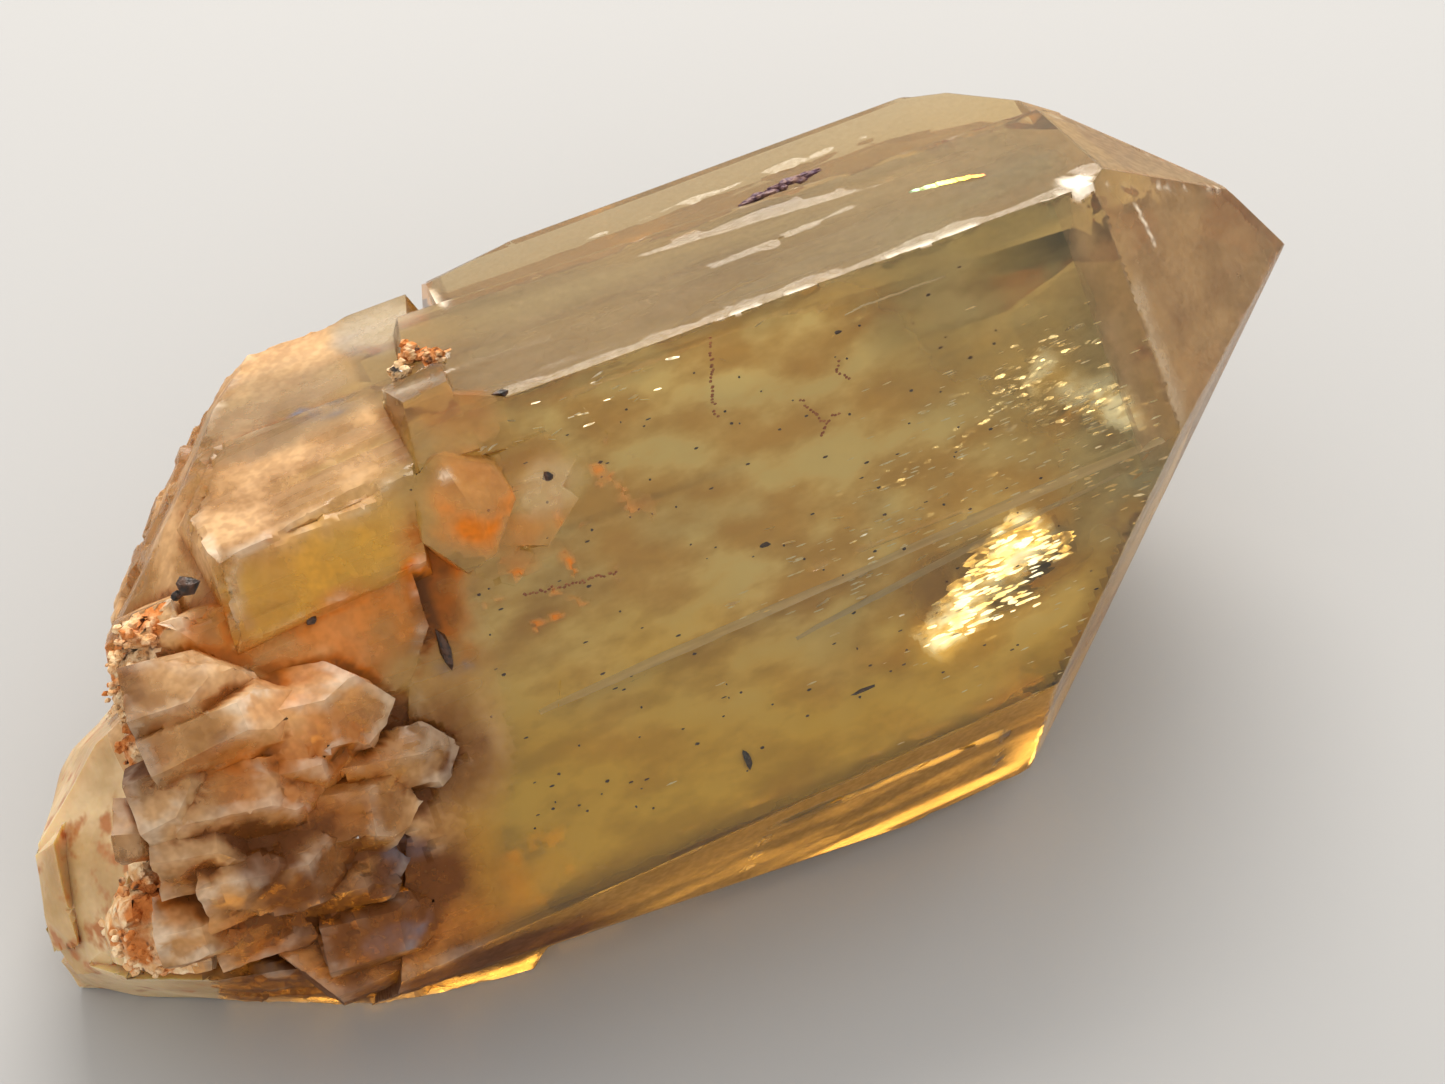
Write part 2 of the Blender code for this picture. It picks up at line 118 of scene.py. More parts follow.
def smooth_noise(points, size, seed):
    """Soft random values from -1 to 1, with lumps about this many millimetres across."""
    table = np.random.default_rng(seed).uniform(-1.0, 1.0, (32, 32, 32))
    grid = np.asarray(points) / size + 1000.0
    cell = np.floor(grid).astype(int)
    part = grid - cell
    part = part * part * (3.0 - 2.0 * part)
    total = np.zeros(len(grid))
    for corner in np.ndindex(2, 2, 2):
        index = (cell + corner) % 32
        share = np.prod(np.where(np.array(corner) == 1, part, 1.0 - part), axis=1)
        total += share * table[index[:, 0], index[:, 1], index[:, 2]]
    return total


def rough_noise(points, size, seed, layers=3):
    total = np.zeros(len(points))
    for layer in range(layers):
        total += smooth_noise(points, size / 2**layer, seed + layer) / 2**layer
    return total


def facet_noise(points, spacing, seed, tilt):
    """Flat tilted patches, one round each scattered centre, like small broken faces."""
    rng = np.random.default_rng(seed)
    side = 24
    shifts = rng.uniform(0.1, 0.9, (side, side, side, 3))
    slopes = rng.normal(0.0, tilt, (side, side, side, 3))
    grid = np.asarray(points) / spacing + 1000.0
    cell = np.floor(grid).astype(int)
    best = np.full(len(grid), np.inf)
    found = np.zeros(len(grid))
    for step in np.ndindex(3, 3, 3):
        other = cell + np.array(step) - 1
        index = tuple((other % side).T)
        gap = grid - (other + shifts[index])
        far = (gap**2).sum(1)
        nearer = far < best
        best = np.where(nearer, far, best)
        lift = (gap * slopes[index]).sum(1) + slopes[index][:, 0]
        found = np.where(nearer, lift, found)
    return found * spacing


def ramp(values, low, high):
    """0 below low, 1 above high, smooth between; low may be the larger."""
    share = np.clip((values - low) / (high - low), 0.0, 1.0)
    return share * share * (3.0 - 2.0 * share)


def near_line(points, start, end):
    """Distance of each point to a line, and how far along the line it is, from 0 to 1."""
    start, end = np.array(start), np.array(end)
    along = end - start
    share = np.clip((points - start) @ along / (along @ along), 0.0, 1.0)
    return np.linalg.norm(points - (start + share[:, None] * along), axis=1), share


def blob(points, centre, size):
    """1 at the centre of an ellipsoid, falling to 0 at its skin."""
    reach = np.linalg.norm((points - np.array(centre)) / np.array(size), axis=1)
    return ramp(reach, 1.0, 0.45)


# Mesh helpers.


def new_object(name, mesh):
    obj = bpy.data.objects.new(name, mesh)
    bpy.context.scene.collection.objects.link(obj)
    return obj


def mesh_from(name, points, faces, materials=()):
    """A mesh from points in crystal axes."""
    mesh = bpy.data.meshes.new(name)
    mesh.from_pydata([at(*point) for point in points], [], faces)
    for material in materials:
        mesh.materials.append(material)
    mesh.update()
    return mesh


def crystal_points(mesh):
    """A mesh's points in crystal axes."""
    flat = np.empty(len(mesh.vertices) * 3, np.float32)
    mesh.vertices.foreach_get("co", flat)
    matrix = np.array(TO_CRYSTAL)
    return flat.reshape(-1, 3).astype(float) @ matrix[:3, :3].T + matrix[:3, 3]


def set_crystal_points(mesh, points):
    """Puts the points back in the part's frame, held inside the solid's own box."""
    matrix = np.array(CRYSTAL)
    placed = points @ matrix[:3, :3].T + matrix[:3, 3]
    placed = np.clip(placed, np.array(cad_box[0]), np.array(cad_box[1]))
    mesh.vertices.foreach_set("co", placed.astype(np.float32).ravel())
    mesh.update()


def crystal_normals(mesh):
    flat = np.empty(len(mesh.vertices) * 3, np.float32)
    mesh.vertices.foreach_get("normal", flat)
    return flat.reshape(-1, 3).astype(float) @ np.array(TURNED)[:3, :3]


def keep_value(mesh, name, values):
    made = mesh.attributes.new(name, "FLOAT", "POINT")
    made.data.foreach_set("value", values.astype(np.float32))


def apply_modifiers(obj):
    graph = bpy.context.evaluated_depsgraph_get()
    mesh = bpy.data.meshes.new_from_object(obj.evaluated_get(graph))
    obj.modifiers.clear()
    obj.data = mesh
    return mesh


def finish_piece(obj):
    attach(obj, "root")
    return obj


def hollows_of(mesh, rounds=6):
    """How far each point lies in a hollow, in cell lengths, smoothed over its neighbours."""
    points = crystal_points(mesh)
    normals = crystal_normals(mesh)
    ends = np.empty(len(mesh.edges) * 2, np.int32)
    mesh.edges.foreach_get("vertices", ends)
    ends = ends.reshape(-1, 2)
    count = np.bincount(ends.ravel(), minlength=len(points)).clip(1)

    def spread(values):
        total = np.zeros_like(values)
        np.add.at(total, ends[:, 0], values[ends[:, 1]])
        np.add.at(total, ends[:, 1], values[ends[:, 0]])
        return total / (count if values.ndim == 1 else count[:, None])

    smooth = points
    for _ in range(rounds):
        smooth = spread(smooth)
    return spread(((smooth - points) * normals).sum(1))


# Node helpers.


def node(tree, kind, **settings):
    made = tree.nodes.new(kind)
    for name, value in settings.items():
        setattr(made, name, value)
    return made


def value_math(tree, operation, first, second=None):
    """A Math node whose inputs are sockets or numbers; returns its output socket."""
    made = node(tree, "ShaderNodeMath", operation=operation, use_clamp=False)
    for index, value in enumerate((first, second)):
        if value is None:
            continue
        if isinstance(value, (int, float)):
            made.inputs[index].default_value = value
        else:
            tree.links.new(value, made.inputs[index])
    return made.outputs[0]


def mixed(tree, share, first, second):
    """A colour mix whose inputs are sockets or colours; returns its output socket."""
    made = node(tree, "ShaderNodeMix", data_type="RGBA")
    for name, value in (("Factor_Float", share), ("A_Color", first), ("B_Color", second)):
        socket = next(s for s in made.inputs if s.identifier == name)
        if isinstance(value, (int, float, tuple)):
            socket.default_value = value
        else:
            tree.links.new(value, socket)
    return next(s for s in made.outputs if s.identifier == "Result_Color")


def attribute(tree, name):
    return node(tree, "ShaderNodeAttribute", attribute_name=name).outputs["Fac"]


def new_group(name, inputs, outputs):
    group = bpy.data.node_groups.new(name, "ShaderNodeTree")
    for label, kind, default in inputs:
        socket = group.interface.new_socket(label, in_out="INPUT", socket_type=kind)
        socket.default_value = default
    for label, kind in outputs:
        group.interface.new_socket(label, in_out="OUTPUT", socket_type=kind)
    return group, node(group, "NodeGroupInput"), node(group, "NodeGroupOutput")


def crystal_place(tree):
    """Position over the stone in crystal axes, in millimetres."""
    place = node(tree, "ShaderNodeTexCoord")
    turn = node(tree, "ShaderNodeMapping", vector_type="TEXTURE")
    turn.inputs["Location"].default_value = FRONT_CORNER * MM
    turn.inputs["Rotation"].default_value = TURNED.to_euler()
    turn.inputs["Scale"].default_value = (MM, MM, MM)
    tree.links.new(place.outputs["Object"], turn.inputs["Vector"])
    return turn.outputs[0]


def patches_group():
    """Soft irregular patches: a mask from 0 to 1, with its size in millimetres and its stretch."""
    inputs = (
        ("Size", "NodeSocketFloat", 4.0),
        ("Stretch", "NodeSocketVector", (1.0, 1.0, 1.0)),
        ("Detail", "NodeSocketFloat", 4.0),
        ("Low", "NodeSocketFloat", 0.45),
        ("High", "NodeSocketFloat", 0.6),
    )
    group, given, result = new_group("patches", inputs, (("Mask", "NodeSocketFloat"),))
    stretched = node(group, "ShaderNodeVectorMath", operation="MULTIPLY")
    group.links.new(crystal_place(group), stretched.inputs[0])
    group.links.new(given.outputs["Stretch"], stretched.inputs[1])
    noise = node(group, "ShaderNodeTexNoise")
    group.links.new(stretched.outputs[0], noise.inputs["Vector"])
    group.links.new(value_math(group, "DIVIDE", 1.0, given.outputs["Size"]), noise.inputs["Scale"])
    group.links.new(given.outputs["Detail"], noise.inputs["Detail"])
    span = node(group, "ShaderNodeMapRange", interpolation_type="SMOOTHSTEP")
    group.links.new(noise.outputs[0], span.inputs["Value"])
    group.links.new(given.outputs["Low"], span.inputs["From Min"])
    group.links.new(given.outputs["High"], span.inputs["From Max"])
    group.links.new(span.outputs[0], result.inputs[0])
    return group


def patches(tree, size, low=0.45, high=0.6, stretch=(1.0, 1.0, 1.0), detail=4.0):
    made = node(tree, "ShaderNodeGroup", node_tree=bpy.data.node_groups["patches"])
    settings = {"Size": size, "Stretch": stretch, "Detail": detail, "Low": low, "High": high}
    for name, value in settings.items():
        made.inputs[name].default_value = value
    return made.outputs["Mask"]


def new_material(name, **values):
    """A material, its nodes and its shader; values are the shader's own plain settings."""
    material = bpy.data.materials.new(name)
    material.use_nodes = True
    tree = material.node_tree
    shader = tree.nodes["Principled BSDF"]
    for setting, value in values.items():
        shader.inputs[setting.replace("_", " ")].default_value = value
    return material, tree, shader


def colour_into(tree, shader, colour, also_glows=False):
    tree.links.new(colour, shader.inputs["Base Color"])
    if also_glows:
        tree.links.new(colour, shader.inputs["Emission Color"])


def bump_into(tree, shader, height, distance, strength=1.0):
    bump = node(tree, "ShaderNodeBump")
    bump.inputs["Strength"].default_value = strength
    bump.inputs["Distance"].default_value = distance
    tree.links.new(height, bump.inputs["Height"])
    tree.links.new(bump.outputs[0], shader.inputs["Normal"])


# Materials.


def quartz_material():
    """Clear honey quartz: stained near the base, matt on the faces that the photo shows matt."""
    material, tree, shader = new_material("clear_quartz", IOR=QUARTZ_IOR, Transmission_Weight=1.0)
    clouded = mixed(tree, attribute(tree, "cloud"), (1.0, 0.96, 0.88, 1.0), (0.99, 0.88, 0.70, 1.0))
    stained = mixed(tree, attribute(tree, "rust"), clouded, (0.92, 0.50, 0.18, 1.0))
    # The brown tint is partly iron stain, partly painted shade and shadow.
    browned = mixed(tree, attribute(tree, "brown"), stained, (0.60, 0.32, 0.10, 1.0))
    colour_into(tree, shader, browned)
    lines = patches(tree, 0.9, 0.45, 0.75, stretch=(0.05, 1.0, 1.0), detail=0.0)
    rough = value_math(tree, "MULTIPLY", attribute(tree, "rough"), value_math(tree, "ADD", lines, 0.7))
    tree.links.new(rough, shader.inputs["Roughness"])
    depth = node(tree, "ShaderNodeVolumeAbsorption")
    depth.inputs["Color"].default_value = (0.95, 0.74, 0.12, 1.0)
    depth.inputs["Density"].default_value = 66.0
    tree.links.new(depth.outputs[0], tree.nodes["Material Output"].inputs["Volume"])
    return material


def film_material():
    """The thin frosting, iron stain and bruising on the stone's skin, with painted highlights, sheen, shade
    and shadow.
    """
    material, tree, shader = new_material("weathered_film", Roughness=0.5, Specular_IOR_Level=0.2)
    grain = patches(tree, 0.5, 0.30, 0.72, detail=1.0)
    tan = mixed(tree, attribute(tree, "cloud"), (0.58, 0.29, 0.09, 1.0), (0.78, 0.50, 0.26, 1.0))
    pale = mixed(tree, value_math(tree, "MULTIPLY", grain, 0.14), tan, (0.90, 0.68, 0.42, 1.0))
    # Grey: grey patches, and painted sheen and shade on the upward and point faces.
    grey = mixed(tree, attribute(tree, "grey"), pale, (0.28, 0.215, 0.125, 1.0))
    gold = mixed(tree, attribute(tree, "gold"), grey, (0.74, 0.40, 0.06, 1.0))
    rust = mixed(tree, attribute(tree, "rust"), gold, (0.70, 0.21, 0.015, 1.0))
    # Brown: iron stain, with painted shade and a painted shadow over the foot.
    brown = mixed(tree, attribute(tree, "brown"), rust, (0.15, 0.055, 0.015, 1.0))
    slate = mixed(tree, attribute(tree, "slate"), brown, (0.16, 0.17, 0.22, 1.0))
    # White for bruising and for painted highlights.
    white = mixed(tree, attribute(tree, "bruise_and_highlight"), slate, (0.95, 0.86, 0.72, 1.0))
    colour_into(tree, shader, white)
    share = value_math(tree, "ADD", value_math(tree, "MULTIPLY", grain, 0.22), 0.80)
    tree.links.new(value_math(tree, "MULTIPLY", attribute(tree, "haze"), share), shader.inputs["Alpha"])
    return material


def crust_material():
    """Crumbly cream and rust crust."""
    material, tree, shader = new_material("iron_crust", Roughness=0.75)
    grain = patches(tree, 0.6, 0.30, 0.70, detail=3.0)
    cream = mixed(tree, grain, (0.74, 0.44, 0.20, 1.0), (0.90, 0.72, 0.48, 1.0))
    rust = mixed(tree, patches(tree, 2.0, 0.44, 0.60, detail=3.0), cream, (0.60, 0.22, 0.05, 1.0))
    dark = mixed(tree, patches(tree, 0.9, 0.60, 0.72, detail=2.0), rust, (0.10, 0.045, 0.025, 1.0))
    colour_into(tree, shader, dark)
    bump_into(tree, shader, grain, 0.0002, 0.8)
    return material


def waxy_material():
    """The smooth cream and tan lobe."""
    material, tree, shader = new_material(
        "waxy_quartz",
        Roughness=0.35,
        Subsurface_Weight=0.5,
        Subsurface_Radius=(1.0, 0.55, 0.25),
        Subsurface_Scale=0.002,
    )
    tan = mixed(tree, patches(tree, 5.0, 0.35, 0.65), (0.48, 0.31, 0.14, 1.0), (0.70, 0.52, 0.30, 1.0))
    rust = mixed(tree, patches(tree, 1.8, 0.56, 0.70, detail=3.0), tan, (0.46, 0.19, 0.06, 1.0))
    colour_into(tree, shader, rust)
    bump_into(tree, shader, patches(tree, 1.2, 0.3, 0.7, detail=2.0), 0.00008, 0.6)
    return material


def veil_material(name, first, second, deep, streaks):
    """Milky healed cracks inside the stone, drawn out along the axis."""
    material, tree, shader = new_material(name, Roughness=0.5)
    fibres = patches(tree, 2.2, 0.32, 0.68, stretch=(streaks, 1.0, 1.0), detail=4.0)
    milky = mixed(tree, fibres, first, second)
    colour_into(tree, shader, mixed(tree, attribute(tree, "tone"), milky, deep))
    share = value_math(tree, "ADD", value_math(tree, "MULTIPLY", fibres, 0.4), 0.7)
    tree.links.new(value_math(tree, "MULTIPLY", attribute(tree, "cover"), share), shader.inputs["Alpha"])
    return material


def flake_material(name, colour, rough):
    """A thin air-filled crack that mirrors the light."""
    material, tree, shader = new_material(name, Metallic=1.0, Roughness=rough)
    tint = mixed(tree, patches(tree, 0.7, 0.35, 0.65, detail=1.0), colour, (1.0, 0.99, 0.93, 1.0))
    colour_into(tree, shader, tint)
    bump_into(tree, shader, patches(tree, 0.6, 0.2, 0.8, detail=0.0), 0.0001, 0.4)
    return material


def painted_glow_core_material():
    """The brightest cracks, with a painted glow: their emission stands in for the lamp's light coming back
    off them.
    """
    material, tree, shader = new_material("painted_glow_core", Emission_Strength=0.85, Roughness=0.4)
    warmth = patches(tree, 1.0, 0.35, 0.65, detail=1.0)
    glow = mixed(tree, warmth, (1.0, 0.80, 0.34, 1.0), (1.0, 0.97, 0.74, 1.0))
    colour_into(tree, shader, glow, also_glows=True)
    return material


def painted_glow_sheet_material():
    """A painted glow: soft emitted light round the brightest cracks, standing in for the lamp's light off
    them.
    """
    material, tree, shader = new_material("painted_flash_glow", Emission_Strength=0.65)
    streaks = patches(tree, 0.9, 0.35, 0.65, stretch=(0.5, 1.0, 1.0), detail=3.0)
    glow = mixed(tree, streaks, (0.95, 0.62, 0.14, 1.0), (1.0, 0.94, 0.62, 1.0))
    colour_into(tree, shader, glow, also_glows=True)
    share = value_math(tree, "ADD", value_math(tree, "MULTIPLY", streaks, 0.5), 0.5)
    tree.links.new(value_math(tree, "MULTIPLY", attribute(tree, "cover"), share), shader.inputs["Alpha"])
    return material


def plain_mineral(name, first, second, rough, size=0.4):
    material, tree, shader = new_material(name, Roughness=rough)
    colour_into(tree, shader, mixed(tree, patches(tree, size, 0.35, 0.65), first, second))
    bump_into(tree, shader, patches(tree, size, 0.3, 0.7), 0.0001, 0.6)
    return material


def rainbow_material():
    """A crack thin enough to split the light into colours along its length."""
    material, tree, shader = new_material("rainbow_crack", Metallic=1.0, Roughness=0.45)
    colours = node(tree, "ShaderNodeValToRGB")
    stops = (
        (0.0, (0.30, 0.62, 0.50, 1)),
        (0.3, (0.62, 0.85, 0.30, 1)),
        (0.6, (0.98, 0.86, 0.15, 1)),
        (0.85, (0.98, 0.50, 0.10, 1)),
        (1.0, (0.85, 0.30, 0.12, 1)),
    )
    bands = colours.color_ramp.elements
    while len(bands) < len(stops):
        bands.new(0.5)
    for band, (position, colour) in zip(bands, stops):
        band.position = position
        band.color = colour
    tree.links.new(attribute(tree, "along"), colours.inputs[0])
    colour_into(tree, shader, colours.outputs[0])
    return material


# The stone itself.


def stone_mesh():
    """The solid's own surface, remade in small even faces."""
    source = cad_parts[NODE].data.copy()
    stone = new_object("grown_stone", source)
    even = stone.modifiers.new("even", "REMESH")
    even.mode = "SHARP"
    even.octree_depth = MESH_DEPTH - 0
    even.scale = 0.9
    even.sharpness = 1.0
    even.use_remove_disconnected = True
    even.threshold = 0.5
    apply_modifiers(stone)
    return stone


def chipped(points, normals):
    """Worn and chipped main edges, whitened by bruising and, along the upper ridge and round corner A, by
    painted highlights.
    """
    ridge_turn = Vector((-11.0, 32.7, 12.1))
    edges = (
        # start, end, how badly chipped, how white
        (RIDGE_LEFT, ridge_turn, 0.25, 0.25),
        (ridge_turn, CORNER_A, 0.75, 1.0),
        (CORNER_A, CORNER_D, 0.25, 0.2),
        (CORNER_D, CORNER_E, 0.2, 0.2),
        (CORNER_E, CORNER_F, 0.3, 0.2),
        (CORNER_E, Vector((-30.0, 7.5, 12.4)), 0.35, 0.15),
        (CORNER_A, CORNER_B, 0.4, 0.7),
        (CORNER_B, CORNER_TIP, 0.5, 0.6),
        (CORNER_D, CORNER_TIP, 0.4, 0.2),
        (CORNER_G, CORNER_B, 0.5, 0.4),
        (CORNER_G, Vector((-23.0, 38.6, 3.0)), 0.6, 0.45),
        (Vector((12.4, 37.7, 0.0)), Vector((-23.2, 39.2, 0.0)), 0.6, 0.35),
        (CORNER_F, Vector((-30.0, 0.4, 0.0)), 0.5, 0.2),
    )
    sunk = np.zeros(len(points))
    bruise_and_highlight = np.zeros(len(points))
    for number, (start, end, badness, white) in enumerate(edges):
        gap, _ = near_line(points, start, end)
        bite = np.clip(rough_noise(points, 1.1, 7 * number + 7) + 0.4 * badness, 0.0, 1.0)
        close = ramp(gap, 0.25 + 0.6 * badness * bite, 0.0)
        sunk = np.maximum(sunk, close * (0.04 + 0.26 * badness * bite))
        speckle = rough_noise(points, 0.5, 7 * number + 9)
        bruised = ramp(gap + 0.20 * speckle, 0.12 + 0.28 * white * bite, 0.03)
        bruised = bruised * ramp(bite + 0.4 * speckle, 0.10, 0.5)
        bruise_and_highlight = np.maximum(bruise_and_highlight, bruised * white)
    corner = np.linalg.norm(points - np.array(CORNER_A), axis=1)
    ragged = rough_noise(points, 0.8, 57)
    bruise_and_highlight = np.maximum(bruise_and_highlight, ramp(corner + 0.9 * ragged, 1.6, 0.6) * (normals[:, 0] < 0.35))
    sunk = np.maximum(sunk, ramp(corner, 1.8, 0.2) * 0.3 * np.clip(ragged + 0.4, 0.0, 1.0))
    return points - normals * (sunk * (0.8 + 0.4 * smooth_noise(points, 0.5, 99)))[:, None], bruise_and_highlight


def base_share(points):
    """1 over the broken base with its small crystals, 0 over the clean prism."""
    edge = -29.0 + 1.5 * smooth_noise(points, 5.0, 41) - 0.3 * np.clip(20.0 - points[:, 1], 0.0, 16.0)
    return ramp(points[:, 0], edge + 1.0, edge - 2.0)


def growth_steps(points, normals):
    """Low growth steps drawn out along the prism's faces."""
    bands = rough_noise(points * np.array([0.02, 1.0, 1.0]), 1.6, 61, 2)
    return np.where(np.abs(normals[:, 0]) < 0.2, np.round(bands * 3.0) / 3.0 * 0.009, 0.0)


# Where the skin is stained, as (centre, size, strength).
RUST_PLACES = (
    ((-27.3, 29.0, 14.4), (3.3, 4.2, 3.4), 0.78),
    ((-30.6, 24.4, 12.6), (2.6, 4.6, 2.8), 1.0),
    ((-24.8, 25.6, 12.8), (3.0, 2.4, 1.8), 0.35),
    ((-36.0, 24.0, 13.4), (7.0, 3.0, 2.6), 0.5),
    ((-47.0, 27.2, 10.4), (3.0, 4.4, 4.0), 0.8),
    ((-48.4, 16.5, 10.5), (2.6, 6.5, 4.5), 0.8),
    ((-26.0, 33.4, 12.6), (3.4, 2.4, 2.0), 0.4),
    ((-40.0, 19.5, 14.6), (7.0, 5.0, 3.4), 0.42),
    ((-44.0, 11.0, 12.5), (5.0, 3.4, 3.0), 0.55),
    ((-39.0, 8.0, 11.0), (13.0, 3.0, 4.4), 0.35),
    ((-25.5, 38.0, 5.0), (1.4, 2.0, 2.4), 0.5),
    ((-41.5, 26.6, 12.6), (3.0, 1.6, 2.0), 0.6),
)
# Scattered rust spots on the clear front face.
SPOTTED_PLACES = (
    ((-25.0, 23.0, 12.3), (5.5, 4.5, 1.5), 1.0),
    ((-21.0, 27.0, 12.3), (4.5, 4.5, 1.5), 0.8),
    ((-31.0, 8.5, 12.0), (4.0, 3.0, 2.5), 0.45),
)
# Dark brown patches: mostly iron stain, but over the foot a painted shadow and in the recess under the orange
# block painted shade.
BROWN_STAIN_AND_SHADE_PLACES = (
    # Painted shadow over the foot.
    ((-42.0, 4.2, 7.0), (18.0, 6.6, 9.0), 1.0),
    ((-50.0, 6.5, 3.0), (7.0, 5.5, 5.0), 0.8),
    # Painted shade in the recess under the orange block.
    ((-31.0, 23.6, 12.5), (2.4, 4.0, 2.0), 0.75),
    ((-33.4, 16.6, 12.4), (3.4, 4.0, 2.0), 0.6),
    ((-40.0, 10.0, 13.0), (9.0, 4.6, 3.0), 0.85),
    ((-42.0, 14.8, 13.6), (7.0, 4.0, 3.0), 0.72),
    ((-48.2, 23.8, 12.0), (3.2, 5.2, 5.4), 1.0),
)
GOLD_PLACES = (
    ((-36.0, 28.0, 13.6), (7.5, 3.0, 3.0), 1.0),
    ((-23.0, 28.5, 12.6), (4.0, 3.4, 2.0), 0.5),
    ((-31.0, 9.0, 10.0), (8.0, 6.0, 6.0), 0.8),
)
GREY_PLACES = (
    ((-26.5, 38.0, 1.5), (4.6, 2.4, 7.0), 0.9),
    ((-34.0, 36.4, 4.0), (8.0, 3.4, 9.0), 0.7),
    ((-40.5, 12.0, 12.6), (5.0, 2.6, 2.6), 0.6),
)
SLATE_PLACES = (
    ((-32.4, 35.5, 5.2), (2.6, 0.9, 1.5), 0.9),
    ((-25.9, 35.6, 8.0), (1.2, 1.2, 1.4), 0.9),
    ((-26.6, 38.2, 1.0), (4.0, 2.0, 5.5), 0.35),
    ((-36.8, 12.4, 13.2), (2.4, 1.0, 1.6), 0.8),
    ((-31.0, 20.0, 12.3), (1.6, 0.7, 1.4), 0.6),
    ((-38.6, 8.8, 13.3), (2.6, 0.9, 1.6), 0.8),
)
# White patches: pale crust, and painted highlights on the speck's edge, on the orange block and on the chip's
# edge.
WHITE_PATCHES_AND_HIGHLIGHTS = (
    ((-43.8, 28.8, 13.4), (1.6, 0.6, 1.2), 0.9),
    ((-28.3, 30.4, 15.0), (0.8, 0.6, 0.9), 0.8),
    ((-23.2, 38.6, 1.5), (0.5, 1.0, 5.0), 0.8),
    ((-27.6, 35.2, 11.0), (2.4, 0.5, 1.6), 0.5),
    ((-22.8, 27.8, 12.7), (3.0, 2.2, 1.2), 0.38),
    ((-26.6, 38.4, 0.5), (3.6, 2.0, 5.0), 0.42),
)
STAIN_DRIFT = 0.9
# A scratch on the point's front face, and a painted glow along that face's lower edge.
SCRATCH = ((14.2, 29.9, 9.8), (14.7, 27.4, 9.5))
PAINTED_GLOW_EDGE = ((11.6, 25.0, 11.8), (11.6, 18.6, 11.8))


def point_face_marks(points):
    scratch, _ = near_line(points, *SCRATCH)
    edge, _ = near_line(points, *PAINTED_GLOW_EDGE)
    glow = 0.35 * ramp(edge + 0.6 * smooth_noise(points, 1.5, 231), 1.9, 0.2)
    return np.maximum(0.9 * ramp(scratch, 0.22, 0.06), glow)


def drifted(points):
    """The points pushed about a little, so that a stain's outline is ragged."""
    pushed = [rough_noise(points, 2.2, seed) * STAIN_DRIFT for seed in (201, 211, 221)]
    return points + np.stack(pushed, axis=1)


def strongest(points, places):
    found = np.zeros(len(points))
    for centre, size, strength in places:
        found = np.maximum(found, blob(points, centre, size) * strength)
    return found


def relief(points, base, lobe):
    """How far the broken base stands out or in: rough where it is crowded, quiet on the big faces."""
    crowd = strongest(
        points,
        (
            ((-41.0, 16.0, 12.0), (12.0, 10.0, 6.0), 1.0),
            ((-42.0, 6.0, 3.0), (17.0, 8.0, 9.0), 0.6),
            ((-49.5, 15.0, 9.0), (5.0, 9.0, 5.0), 1.0),
            ((-40.0, 30.0, -8.0), (16.0, 14.0, 12.0), 0.9),
        ),
    )
    strength = base * (0.06 + 0.94 * crowd) * (1.0 - 0.85 * lobe)
    broken = facet_noise(points, 2.6, 5, 0.20) + 0.6 * facet_noise(points, 1.1, 6, 0.20)
    return strength * broken * 0.30


EDGE_WEAR = 0.6


def face_shares(points, normals):
    """How far each point belongs to the upper, upper back and lower faces, and to the point's own."""
    upper = ramp(normals @ np.array([0.02, 0.866, 0.5]), 0.62, 0.85)
    upper_back = ramp(normals @ np.array([0.05, 0.866, -0.5]), 0.85, 0.98)
    lower = ramp(normals @ np.array([0.0, -1.0, 0.0]), 0.80, 0.86)
    point = ramp(normals[:, 0], 0.4, 0.6) * ramp(points[:, 0], 0.0, 4.0)
    return upper, upper_back, lower, point


def wear(mesh, points, normals, base, lobe):
    """Wears and roughens the stone; returns its new points and where its edges are whitened, by bruising and
    by painted highlights.
    """
    ridges = ramp(-hollows_of(mesh), 0.03, 0.14) * base * (1.0 - lobe)
    crowd = ramp(points[:, 1], 27.0, 24.0)
    worn = ridges * np.clip(rough_noise(points, 1.6, 93) + 0.25, 0.0, 1.0) * (EDGE_WEAR - 0.5 * crowd)
    points, bruise_and_highlight = chipped(points, normals)
    points = points + normals * (relief(points, base, lobe) - worn)[:, None]
    points = points + normals * ((1.0 - base) * growth_steps(points, normals))[:, None]
    rings = np.sin(2.2 * np.linalg.norm(points - np.array([-46.0, 12.0, 0.0]), axis=1))
    points = points + normals * (lobe * rings * 0.10)[:, None]
    set_crystal_points(mesh, points)
    return points, bruise_and_highlight


